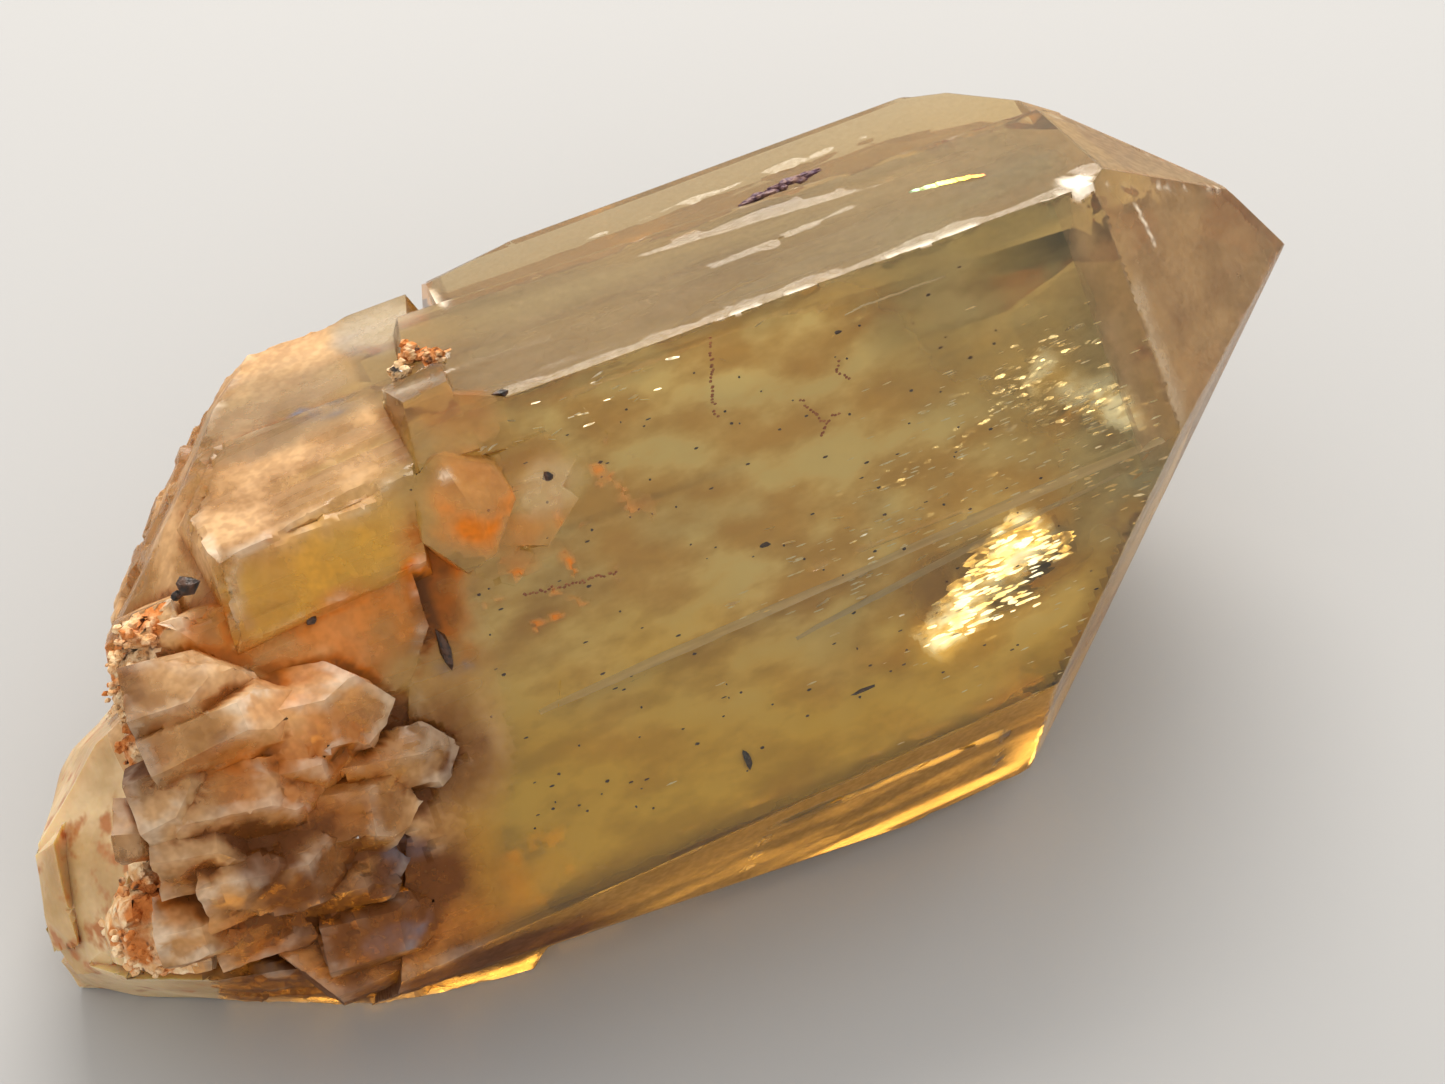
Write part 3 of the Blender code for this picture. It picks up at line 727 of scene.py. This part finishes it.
def dress_stone(stone):
    """Wears the stone and keeps the values that the finishes read."""
    mesh = stone.data
    points = crystal_points(mesh)
    normals = crystal_normals(mesh)
    base = base_share(points)
    lobe = ramp(points[:, 0], -47.5, -50.0) * ramp(points[:, 2], 9.5, 7.5)
    upper_face, upper_back, lower_face, point_face = face_shares(points, normals)
    points, bruise_and_highlight = wear(mesh, points, normals, base, lobe)
    hollows = hollows_of(mesh)
    hollow = ramp(hollows, 0.02, 0.14)
    # The base's outstanding rims: whitened partly by bruising, partly as painted highlights.
    rims = ramp(-hollows, 0.05, 0.16) * base
    patchy = ramp(rough_noise(points, 2.4, 81), -0.6, 0.5)
    clouds = ramp(rough_noise(points, 4.0, 84), -0.6, 0.7)
    clouds = 0.6 + (clouds - 0.5) * (0.3 + 0.7 * base)
    pushed = drifted(points)
    spots = strongest(pushed, SPOTTED_PLACES) * ramp(rough_noise(points, 1.0, 87), 0.30, 0.8)
    rust = 1.5 * strongest(pushed, RUST_PLACES) * (0.4 + 0.6 * patchy) + base * 0.7 * hollow
    rust = np.clip(np.maximum(rust, spots), 0.0, 1.0)
    brown = 1.4 * strongest(pushed, BROWN_STAIN_AND_SHADE_PLACES) + base * 0.8 * hollow
    # More brown towards the bottom of the base.
    brown = brown + 0.3 * base * ramp(points[:, 1], 22.0, 18.0) * (1.0 - lobe)
    # The clean prism's downward faces are browned as well: painted shade.
    brown = np.clip(brown * (0.6 + 0.4 * clouds) + 0.4 * lower_face * (1.0 - base), 0.0, 1.0)
    # The upward faces, and more weakly the point's faces, are greyed: partly their frosting's own colour,
    # partly painted sheen and shade.
    upper = np.maximum(0.9 * np.maximum(upper_face, upper_back), 0.4 * point_face)
    grey = np.maximum(strongest(pushed, GREY_PLACES), upper * (1.0 - base))
    slate = strongest(pushed, SLATE_PLACES) * (0.3 + 0.7 * patchy)
    gold = np.maximum(strongest(pushed, GOLD_PLACES), 0.7 * lower_face * (1.0 - base))
    clean = 1.0 - base
    matt = np.maximum(upper_face * 0.6, point_face) * clean
    # White: bruised edges and rims, and painted highlights.
    bruise_and_highlight = np.maximum(bruise_and_highlight * clean, rims * 0.55 * patchy * (1.0 - 0.6 * brown))
    bruise_and_highlight = np.maximum(bruise_and_highlight, strongest(points + 0.3 * (pushed - points), WHITE_PATCHES_AND_HIGHLIGHTS))
    bruise_and_highlight = np.maximum(bruise_and_highlight, point_face_marks(points) * point_face)
    clean_frost = 0.44 * upper_face + 0.40 * upper_back + 0.42 * point_face + 0.75 * lower_face
    frost = (0.56 + 0.26 * ramp(points[:, 1], 19.0, 14.0)) * base + clean * clean_frost
    haze = frost * (0.6 + 0.6 * clouds)
    haze = np.maximum(haze, rust * 0.9)
    haze = np.maximum(haze, np.maximum(brown, slate) * 0.92)
    haze = np.clip(np.maximum(haze, bruise_and_highlight), 0.0, 1.0)
    rough = 0.10 * matt + 0.28 * base + 0.22 * lower_face * clean + 0.4 * bruise_and_highlight + 0.10 * rust - 0.02
    rough = np.clip(rough, 0.0, 1.0)
    kept = {"cloud": clouds, "rough": rough, "rust": rust, "brown": brown, "gold": gold}
    kept |= {"grey": grey, "slate": slate, "bruise_and_highlight": bruise_and_highlight, "haze": haze}
    for name, values in kept.items():
        keep_value(mesh, name, values)
    return lobe, haze


FILM_GAP = 0.03
FILM_LEAST = 0.06


def add_film(stone, kind, haze):
    """A skin a few hundredths of a millimetre off the quartz, for what lies on it."""
    mesh = stone.data.copy()
    film = new_object("weathered_film", mesh)
    points = crystal_points(mesh) + crystal_normals(mesh) * FILM_GAP
    set_crystal_points(mesh, points)
    mesh.materials.clear()
    mesh.materials.append(film_material())
    mesh.polygons.foreach_set("material_index", np.zeros(len(mesh.polygons), np.int32))
    first = np.array([face.vertices[0] for face in mesh.polygons])
    filmed = (kind == 0) & (haze[first] > FILM_LEAST)
    skin = bmesh.new()
    skin.from_mesh(mesh)
    skin.faces.ensure_lookup_table()
    underside = MM * 0.2
    spare = [face for face in skin.faces if not filmed[face.index] or face.calc_center_median().z < underside]
    bmesh.ops.delete(skin, geom=spare, context="FACES")
    skin.to_mesh(mesh)
    skin.free()
    film.visible_shadow = False
    finish_piece(film)


CRUST_PLACES = (
    ((-50.6, 12.8, 8.6), (3.6, 3.4, 4.4)),
    ((-47.6, 22.6, 9.4), (1.6, 2.2, 2.6)),
    ((-46.9, 19.9, 11.0), (2.0, 2.6, 2.8)),
    ((-48.2, 18.0, 9.8), (1.8, 2.2, 2.6)),
    ((-49.9, 16.2, 9.4), (2.2, 2.0, 2.4)),
    ((-46.6, 26.6, 10.6), (2.0, 2.2, 2.2)),
    ((-45.4, 28.3, 11.0), (1.9, 1.7, 1.9)),
    ((-47.4, 25.0, 9.0), (1.6, 2.0, 2.4)),
    ((-26.4, 36.6, 6.4), (1.1, 0.9, 1.2)),
    ((-27.4, 35.9, 7.3), (0.9, 0.9, 1.1)),
    ((-25.2, 36.0, 7.1), (0.8, 0.8, 1.0)),
    ((-47.0, 11.4, 10.4), (1.6, 1.5, 1.9)),
)


def paint_stone(stone, lobe):
    """Gives each face the clear, waxy or crusted finish, and returns which."""
    mesh = stone.data
    mesh.materials.clear()
    for material in (quartz_material(), waxy_material(), crust_material()):
        mesh.materials.append(material)
    points = crystal_points(mesh)
    ragged = points + 0.5 * smooth_noise(points, 1.0, 71)[:, None]
    crusted = np.zeros(len(points))
    for centre, size in CRUST_PLACES:
        crusted = np.maximum(crusted, blob(ragged, centre, size))
    kind = np.where(lobe > 0.5, 1, 0)
    kind = np.where(crusted > 0.25, 2, kind)
    first = np.array([face.vertices[0] for face in mesh.polygons])
    mesh.polygons.foreach_set("material_index", kind[first].astype(np.int32))
    mesh.shade_smooth()
    mesh.set_sharp_from_angle(angle=SHARP_EDGE)
    return kind[first]


# Inside the stone.

# Both ends of the brightest flash, and of the glints near the point, just under the front face: where the
# painted glow lies.
MAIN_FLASH = ((-5.0, 12.0, 11.2), (1.4, 15.2, 11.2))
POINT_GLINTS = ((5.6, 23.0, 11.2), (9.4, 19.4, 11.2))
VEIL_MARGIN = 0.35
VEIL_LEAST = 0.03
FLAKE_MARGIN = 0.12
# The flat faces of the prism and its point, as (outward normal, distance from the front corner).
PRISM_PLANES = (
    ((0.0, 0.0, 1.0), FRONT_W),
    ((0.023, 0.866, 0.5), 34.04),
    ((0.024, -0.866, 0.5), 0.0),
    ((0.0, -0.866, -0.5), 0.0),
    ((0.0, 0.0, -1.0), 16.0),
    ((0.06, 0.866, -0.5), 30.46),
    ((0.618, 0.0, 0.786), 16.49),
    ((0.618, 0.681, 0.393), 34.32),
    ((0.618, -0.681, 0.393), 0.0),
    ((0.618, 0.681, -0.393), 32.02),
    ((0.618, -0.681, -0.393), 0.0),
    ((0.618, 0.0, -0.786), 18.5),
)


def camera_in_crystal():
    return TO_CRYSTAL @ CAMERA_PLACE


def bent_into(direction, normal):
    """The direction of a ray after it enters the quartz through a face with this outward normal."""
    direction, normal = direction.normalized(), normal.normalized()
    cosine = -direction.dot(normal)
    ratio = 1.0 / QUARTZ_IOR
    inner = math.sqrt(1.0 - ratio**2 * (1.0 - cosine**2))
    return direction * ratio + normal * (ratio * cosine - inner)


def behind_front(u, v, depth):
    """The point that the camera sees at (u, v) on the front face, this deep under it."""
    on_face = Vector((u, v, FRONT_W))
    ray = bent_into(on_face - camera_in_crystal(), Vector((0.0, 0.0, 1.0)))
    return on_face + ray * (depth / -ray.z)


VEIL_ROWS = 60
VEIL_COLUMNS = 90


def inner_sheet(name, span, wave, seed, material, milkiness, strength):
    """A gently bent sheet, thinning out towards its rim.

    span holds a corner and two sides, and milkiness gives how milky it is at each of its points."""
    corner, along, across = (np.array(value, float) for value in span)
    out = np.cross(along, across)
    out /= np.linalg.norm(out)
    rows, columns = VEIL_ROWS, VEIL_COLUMNS
    s, t = np.meshgrid(np.linspace(0, 1, columns + 1), np.linspace(0, 1, rows + 1))
    s, t = s.ravel(), t.ravel()
    points = corner + s[:, None] * along + t[:, None] * across
    points = points + out * (rough_noise(points, 8.0, seed) * wave)[:, None]
    low = (np.arange(rows)[:, None] * (columns + 1) + np.arange(columns)[None, :]).ravel()
    faces = np.stack([low, low + 1, low + columns + 2, low + columns + 1], axis=1).tolist()
    rim = ramp(np.minimum(s, 1 - s), 0.0, 0.12) * ramp(np.minimum(t, 1 - t), 0.0, 0.12)
    clouds = ramp(rough_noise(points * np.array([0.5, 1.0, 1.0]), 4.0, seed + 50), -0.8, 0.6)
    cover = np.clip(rim * strength * milkiness(points) * (0.55 + 0.45 * clouds), 0.0, 1.0)
    inside = inside_prism(points) > VEIL_MARGIN
    shown = (cover > VEIL_LEAST) & inside
    faces = [face for face in faces if all(shown[index] for index in face)]
    mesh = mesh_from(name, points, faces, [material])
    keep_value(mesh, "cover", cover)
    keep_value(mesh, "tone", golden_below(points))
    mesh.shade_smooth()
    drop_loose(mesh)
    return finish_inner(new_object(name, mesh))


def drop_loose(mesh):
    """Takes out the points that no face uses."""
    loose = bmesh.new()
    loose.from_mesh(mesh)
    bmesh.ops.delete(loose, geom=[vert for vert in loose.verts if not vert.link_faces], context="VERTS")
    loose.to_mesh(mesh)
    loose.free()


def inside_prism(points):
    """How far inside the prism's nearest face each point lies, in millimetres."""
    depth = np.full(len(points), 99.0)
    for normal, reach in PRISM_PLANES:
        normal = np.array(normal) / np.linalg.norm(normal)
        depth = np.minimum(depth, reach - points @ normal)
    return depth


def finish_inner(obj):
    """A piece inside the stone: quartz round it already stops the lamp's straight light."""
    obj.visible_shadow = False
    return finish_piece(obj)


def golden_below(points):
    """More golden towards the lower edge of the front face and towards the base."""
    lower = 15.0 - points[:, 1] - 0.22 * (points[:, 0] + 10.0)
    return 0.9 * ramp(lower + 3.0 * rough_noise(points, 6.0, 371), -4.0, 8.0)


def front_milkiness(points):
    """Milky behind the middle and left of the front face, clear towards the tip and over the flash."""
    clear = ramp(points[:, 0] + 0.5 * (points[:, 1] - 20.0), -3.0, 7.0)
    flash = blob(points * np.array([1.0, 1.0, 0.0]), (-1.0, 14.0, 0.0), (7.5, 3.6, 1.0))
    return np.clip(1.0 - 0.80 * clear - 0.95 * flash, 0.02, 1.0)


def painted_glow_share(points):
    """How strong the painted glow is: bright along the main flash, fainter by the glints near the point."""
    main, _ = near_line(points, *MAIN_FLASH)
    faint, _ = near_line(points, *POINT_GLINTS)
    wavering = 0.8 * smooth_noise(points, 0.9, 381)
    return np.maximum(ramp(main + wavering, 2.0, 0.2), 0.45 * ramp(faint + wavering, 1.8, 0.2))


def even(points):
    return np.ones(len(points))


def towards_tip(points):
    return ramp(points[:, 0], -8.0, 2.0)


def under_upper_face(points):
    """Hazy under the upper face, but for a gap that lets the lamp's light in to the flash."""
    gap = blob(points, (5.0, 33.6, 9.8), (8.0, 3.4, 4.0))
    return 1.0 - 0.9 * gap


def inner_veils():
    deep_gold = (0.86, 0.56, 0.02, 1.0)
    honey = veil_material("honey_veil", (0.94, 0.60, 0.13, 1.0), (1.0, 0.82, 0.35, 1.0), deep_gold, 0.5)
    gold = veil_material("gold_veil", (0.80, 0.52, 0.05, 1.0), (1.0, 0.76, 0.18, 1.0), deep_gold, 0.3)
    olive = veil_material("olive_veil", (0.42, 0.46, 0.34, 1.0), (0.80, 0.84, 0.76, 1.0), deep_gold, 0.4)
    grey = veil_material("grey_veil", (0.23, 0.18, 0.08, 1.0), (0.46, 0.39, 0.22, 1.0), deep_gold, 0.2)
    pink = veil_material("pink_veil", (0.66, 0.43, 0.22, 1.0), (0.82, 0.58, 0.34, 1.0), deep_gold, 0.6)
    # Under the front face, where the milkiness shows most.
    front = (-38.0, 5.0, 10.8), (49.0, 0.0, -0.3), (0.0, 29.0, 0.0)
    inner_sheet("front_veil_1", front, 0.25, 301, honey, front_milkiness, 1.2)
    middle = (-37.0, 4.0, 8.0), (47.0, 1.0, 0.0), (0.0, 30.0, 1.0)
    inner_sheet("front_veil_2", middle, 0.9, 302, gold, front_milkiness, 0.9)
    deepest = (-34.0, 5.0, 2.0), (42.0, 0.0, 0.0), (0.0, 30.0, -1.0)
    inner_sheet("front_veil_3", deepest, 1.4, 303, honey, front_milkiness, 0.7)
    tip = (-10.0, 8.0, 6.5), (24.0, 1.0, -1.0), (0.0, 26.0, -1.0)
    inner_sheet("tip_veil", tip, 1.2, 304, olive, towards_tip, 0.95)
    # Under the faces that meet the front face, and under the point's own front face.
    lower = (-38.0, 1.6, 0.2), (38.5, 0.0, 0.0), (0.0, 5.7, 10.4)
    inner_sheet("lower_veil", lower, 0.2, 305, gold, even, 1.6)
    upper = (-26.0, 31.8, 9.9), (39.0, -0.5, 0.0), (0.0, 5.6, -9.7)
    inner_sheet("upper_veil", upper, 0.3, 306, grey, under_upper_face, 0.8)
    point = (8.0, 15.0, 12.2), (18.0, 5.0, -13.9), (0.0, 18.0, 0.2)
    inner_sheet("point_veil", point, 0.15, 307, pink, even, 0.8)


def lamp_direction_inside():
    """Towards the lamp, for light that has come in through the upper face."""
    lamp = TO_CRYSTAL @ LAMP_PLACE
    middle = Vector((0.0, 35.0, 8.0))
    return -bent_into(middle - lamp, Vector((0.0, 0.866, 0.5)))


def mirror_normal(place):
    """Which way a crack at this place must face to send the lamp's light out of the front face."""
    on_face = Vector((place.x, place.y, FRONT_W))
    to_camera = -bent_into(on_face - camera_in_crystal(), Vector((0.0, 0.0, 1.0)))
    return (to_camera + lamp_direction_inside()).normalized()


def flake_points(rng, place, normal, length, width):
    """A small ragged plate: its corners round a place, longer along the axis of the stone."""
    along = Vector((1.0, 0.0, 0.0))
    along = (along - normal * along.dot(normal)).normalized()
    across = normal.cross(along)
    turn = rng.uniform(-0.5, 0.5)
    corners = []
    sides = rng.randint(5, 8)
    for corner in range(sides):
        angle = 2 * math.pi * corner / sides + turn
        reach = rng.uniform(0.6, 1.1)
        outward = along * (math.cos(angle) * length) + across * (math.sin(angle) * width)
        corners.append(place + outward * reach)
    return corners


def scatter_flakes(name, material, seed, places, count, length, width, looseness, flat=False):
    """Small cracks: facing so that they catch the lamp or, where flat, lying along the front face."""
    rng = random.Random(seed)
    points, faces = [], []
    for _ in range(count):
        u, v, spread_u, spread_v, deep = places[rng.randrange(len(places))]
        u += rng.gauss(0, spread_u)
        v += rng.gauss(0, spread_v)
        place = behind_front(u, v, deep * rng.uniform(0.8, 1.15))
        facing = Vector((0.0, 0.0, 1.0)) if flat else mirror_normal(place)
        normal = facing + Vector([rng.gauss(0, looseness) for _ in range(3)])
        size = rng.uniform(0.4, 1.0)
        corners = flake_points(rng, place, normal.normalized(), length * size, width * size)
        if inside_prism(np.array([list(corner) for corner in corners])).min() < FLAKE_MARGIN:
            continue
        faces.append(list(range(len(points), len(points) + len(corners))))
        points += corners
    finish_inner(new_object(name, mesh_from(name, points, faces, [material])))


def inner_flashes():
    pale = flake_material("flash_pale", (1.0, 1.0, 0.94, 1.0), 0.30)
    cold = flake_material("flash_cold", (0.86, 0.93, 1.0, 1.0), 0.25)
    flame = (
        # along, across, spread along, spread across, depth
        (0.1, 15.2, 0.9, 0.5, 5.5),
        (-1.4, 14.2, 0.9, 0.6, 5.5),
        (-2.9, 13.4, 0.9, 0.5, 5.5),
        (1.8, 14.0, 0.9, 0.4, 5.5),
        (-4.6, 12.2, 0.8, 0.4, 5.5),
        (-0.8, 12.6, 0.6, 0.5, 5.5),
    )
    scatter_flakes("flame_flash", pale, 5, flame, 260, 1.3, 0.45, 0.07)
    glints = (
        (5.4, 24.0, 2.0, 0.8, 3.5),
        (2.6, 22.6, 2.0, 0.9, 3.5),
        (9.2, 19.6, 1.2, 0.9, 3.0),
        (7.0, 21.0, 1.6, 0.8, 3.5),
        (-1.0, 20.2, 2.6, 1.2, 3.5),
        (-4.3, 20.7, 2.0, 1.0, 3.0),
    )
    scatter_flakes("tip_glints", cold, 6, glints, 260, 0.5, 0.18, 0.18)
    warm = (
        (-8.0, 17.8, 2.5, 1.2, 0.8),
        (3.0, 17.6, 3.0, 0.8, 3.0),
        (-4.5, 10.0, 4.0, 1.5, 2.5),
        (-20.0, 31.0, 4.0, 0.6, 0.8),
        (8.0, 15.0, 1.0, 1.4, 2.5),
    )
    scatter_flakes("warm_glints", pale, 7, warm, 150, 0.5, 0.12, 0.3)
    # A sheet of painted glow round the flash.
    glowing = (-9.0, 8.0, 11.2), (20.0, 0.0, 0.0), (0.0, 18.0, 0.0)
    inner_sheet("painted_flash_glow", glowing, 0.05, 308, painted_glow_sheet_material(), painted_glow_share, 1.0)
    cream = plain_mineral("pale_crack", (0.92, 0.74, 0.34, 1.0), (1.0, 0.94, 0.70, 1.0), 0.3)
    # Flat flakes at the heart of the flash, each with a painted glow.
    core = [(u, v, 0.75, 0.42, 0.7) for u, v, *_ in flame]
    scatter_flakes("painted_glow_core", painted_glow_core_material(), 8, core, 150, 0.62, 0.13, 0.20, flat=True)
    fine = (
        (4.0, 23.0, 4.0, 2.2, 0.6),
        (-2.0, 21.0, 4.5, 2.5, 0.6),
        (7.0, 19.5, 2.0, 1.6, 0.6),
        (-6.0, 17.5, 5.0, 1.4, 0.6),
        (-2.0, 12.5, 6.0, 2.4, 0.6),
    )
    scatter_flakes("fine_streaks", cream, 9, fine, 320, 0.42, 0.06, 0.10, flat=True)


def ribbon(name, start, end, width, material, seed, lean=Vector((0.0, 0.3, -1.0))):
    """A long thin crack, seen nearly edge on."""
    steps = 60
    rng = random.Random(seed)
    side = lean.normalized() * width
    points = []
    drift = 0.0
    for step in range(steps + 1):
        share = step / steps
        drift += rng.gauss(0, 0.012)
        middle = start.lerp(end, share) + Vector((0.0, drift, 0.0))
        fade = math.sin(math.pi * min(1.0, 0.04 + share * 0.92)) ** 0.4
        points += [middle, middle + side * fade]
    faces = [(2 * step, 2 * step + 2, 2 * step + 3, 2 * step + 1) for step in range(steps)]
    mesh = mesh_from(name, points, faces, [material])
    keep_value(mesh, "cover", np.full(len(points), 0.8))
    keep_value(mesh, "tone", np.zeros(len(points)))
    keep_value(mesh, "along", np.repeat(np.linspace(0.0, 1.0, steps + 1), 2))
    finish_inner(new_object(name, mesh))


def inner_lines():
    first, second = (0.90, 0.78, 0.52, 1.0), (0.98, 0.90, 0.70, 1.0)
    pale = veil_material("line_veil", first, second, first, 0.2)
    ribbon("long_crack", Vector((-27.5, 16.4, 11.9)), Vector((10.6, 17.1, 11.6)), 1.6, pale, 1)
    ribbon("second_crack", Vector((-13.0, 14.8, 11.9)), Vector((7.5, 16.7, 11.6)), 1.0, pale, 2)
    ribbon("scratch_line", Vector((-4.3, 30.3, 12.0)), Vector((1.8, 30.5, 12.0)), 0.35, pale, 3)


def small_lump(rng, centre, size):
    """Corners and faces of one rough crumb, in crystal axes."""
    ball = bmesh.new()
    bmesh.ops.create_icosphere(ball, subdivisions=1, radius=0.5)
    points = []
    for vert in ball.verts:
        offset = [part * width * rng.uniform(0.7, 1.2) for part, width in zip(vert.co, size)]
        points.append(Vector(centre) + Vector(offset))
    faces = [[vert.index for vert in face.verts] for face in ball.faces]
    ball.free()
    return points, faces


def joined_lumps(name, rows, material, seed):
    rng = random.Random(seed)
    points, faces = [], []
    for centre, size in rows:
        corners, sides = small_lump(rng, centre, size)
        faces += [[index + len(points) for index in side] for side in sides]
        points += corners
    finish_piece(new_object(name, mesh_from(name, points, faces, [material])))


def dark_specks():
    """Dark grains in and on the stone."""
    rng = random.Random(31)
    black = plain_mineral("dark_grain", (0.015, 0.010, 0.008, 1.0), (0.09, 0.04, 0.02, 1.0), 0.30)
    rows = [
        ((-23.4, 33.2, 12.35), (1.1, 0.55, 0.5)),
        ((-22.7, 28.2, 12.9), (0.6, 0.7, 0.4)),
        ((-5.0, 29.6, 12.05), (0.5, 0.25, 0.2)),
        ((-10.4, 10.8, 11.5), (1.6, 0.25, 0.2)),
        ((-17.8, 9.7, 11.0), (0.5, 1.4, 0.3)),
        ((-12.8, 20.3, 11.6), (0.8, 0.3, 0.3)),
        ((-42.2, 29.9, 13.55), (1.3, 1.2, 0.9)),
        ((-42.9, 29.6, 13.3), (0.9, 0.6, 0.6)),
        ((-31.0, 21.6, 12.5), (0.7, 2.6, 0.5)),
        ((-37.0, 25.8, 13.35), (0.8, 0.5, 0.4)),
    ]
    for _ in range(150):
        place = behind_front(rng.uniform(-30.0, 4.0), rng.uniform(9.0, 31.0), rng.uniform(0.1, 1.2))
        rows.append((place, (rng.uniform(0.10, 0.35), rng.uniform(0.07, 0.18), 0.10)))
    joined_lumps("dark_specks", rows, black, 32)


def rust_threads():
    """Thin rust threads in hairline cracks."""
    rust = plain_mineral("rust_thread", (0.45, 0.13, 0.02, 1.0), (0.62, 0.26, 0.06, 1.0), 0.6)
    routes = (
        ((-8.2, 26.9), (-7.7, 26.0), (-7.4, 25.2), (-8.0, 24.5)),
        ((-7.4, 25.2), (-6.7, 25.5), (-6.3, 25.3)),
        ((-5.2, 27.0), (-5.7, 27.6), (-5.4, 28.3)),
        ((-11.8, 31.8), (-12.2, 30.2), (-12.8, 28.7), (-12.9, 27.6)),
        ((-26.0, 22.8), (-23.4, 22.3), (-20.8, 22.0)),
    )
    rng = random.Random(41)
    rows = []
    for route in routes:
        for start, end in zip(route, route[1:]):
            steps = int(math.dist(start, end) / 0.16)
            for step in range(steps):
                share = step / steps
                u = start[0] + (end[0] - start[0]) * share + rng.gauss(0, 0.05)
                v = start[1] + (end[1] - start[1]) * share + rng.gauss(0, 0.05)
                rows.append(((u, v, 11.85 - 0.008 * u), (0.22, 0.16, 0.14)))
    joined_lumps("rust_threads", rows, rust, 42)


def upper_inclusions():
    """What shows through the upper face: a rainbow crack and a purple-brown patch."""
    rainbow = rainbow_material()
    start, end = Vector((2.8, 34.9, 7.4)), Vector((7.0, 34.2, 8.4))
    ribbon("rainbow_crack", start, end, 0.4, rainbow, 8, Vector((0.0, 0.55, -0.8)))
    purple = plain_mineral("purple_patch", (0.10, 0.045, 0.08, 1.0), (0.30, 0.18, 0.15, 1.0), 0.4)
    rng = random.Random(50)
    rows = []
    for step in range(34):
        share = step / 34
        middle = 4.0 * share * (1.0 - share)
        place = (-5.2 + 4.8 * share, 37.5 + 0.3 * share + rng.gauss(0, 0.10), 2.5 + rng.gauss(0, 0.22))
        rows.append((place, (rng.uniform(0.7, 1.3), 0.15 + 0.25 * middle, 0.2 + 0.3 * middle)))
    joined_lumps("purple_patch", rows, purple, 51)


def crumbs():
    """Fine crumbs of crust among the lumps, and cream grains by the chip."""
    rng = random.Random(61)
    rows = []
    for centre, size in CRUST_PLACES:
        for _ in range(int(26 * size[0] / 2)):
            toward = Vector([rng.gauss(0, 1) for _ in range(3)]).normalized()
            toward.z = abs(toward.z)
            place = Vector([c + d * s * 0.62 for c, d, s in zip(centre, toward, size)])
            grain = rng.uniform(0.25, 0.75)
            rows.append((place, (grain, grain * rng.uniform(0.6, 1.0), grain * rng.uniform(0.6, 1.0))))
    joined_lumps("crust_crumbs", rows, bpy.data.materials["iron_crust"], 62)


# Camera, floor and light.


def add_camera():
    data = bpy.data.cameras.new("camera")
    data.lens = LENS
    data.sensor_width = SENSOR
    data.clip_start = CLIP_NEAR
    data.clip_end = CLIP_FAR
    camera = new_object("camera", data)
    look_up = Matrix.Rotation(math.pi / 2 - CAMERA_DOWN, 4, "X")
    camera.matrix_world = Matrix.Translation(CAMERA_PLACE) @ Matrix.Rotation(CAMERA_AZIMUTH, 4, "Z") @ look_up
    bpy.context.scene.camera = camera


def add_floor():
    mesh = bpy.data.meshes.new("floor")
    corners = [(-1, -1), (1, -1), (1, 1), (-1, 1)]
    mesh.from_pydata([(x * FLOOR_HALF, y * FLOOR_HALF, 0) for x, y in corners], [], [(0, 1, 2, 3)])
    floor = new_object("floor", mesh)
    floor.location.z = -FLOOR_DROP
    material, _, _ = new_material("floor", Base_Color=FLOOR_COLOUR, Roughness=0.7)
    mesh.materials.append(material)


def add_lamp():
    data = bpy.data.lights.new("lamp_behind", "AREA")
    data.shape = "SQUARE"
    data.size = LAMP_SIZE
    data.energy = LAMP_POWER
    data.color = LAMP_COLOUR
    lamp = new_object("lamp_behind", data)
    lamp.location = LAMP_PLACE
    lamp.rotation_euler = LAMP_PLACE.to_track_quat("Z", "Y").to_euler()


def add_room():
    world = bpy.data.worlds.new("studio")
    world.use_nodes = True
    background = world.node_tree.nodes["Background"]
    background.inputs["Color"].default_value = ROOM_COLOUR
    background.inputs["Strength"].default_value = ROOM_STRENGTH
    bpy.context.scene.world = world


def set_view():
    """Plain colours, and few enough light paths for clear stone to render quickly."""
    scene = bpy.context.scene
    scene.view_settings.view_transform = "Standard"
    scene.view_settings.gamma = VIEW_GAMMA
    scene.view_settings.exposure = VIEW_EXPOSURE
    scene.cycles.caustics_reflective = False
    scene.cycles.max_bounces = 8
    scene.cycles.diffuse_bounces = 2
    scene.cycles.glossy_bounces = 3
    scene.cycles.transmission_bounces = 6
    scene.cycles.transparent_max_bounces = 16


def main():
    add_camera()
    patches_group()
    stone = stone_mesh()
    lobe, haze = dress_stone(stone)
    kind = paint_stone(stone, lobe)
    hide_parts(NODE)
    finish_piece(stone)
    add_film(stone, kind, haze)
    inner_veils()
    inner_flashes()
    inner_lines()
    dark_specks()
    rust_threads()
    upper_inclusions()
    crumbs()
    add_floor()
    add_lamp()
    add_room()
    set_view()


main()
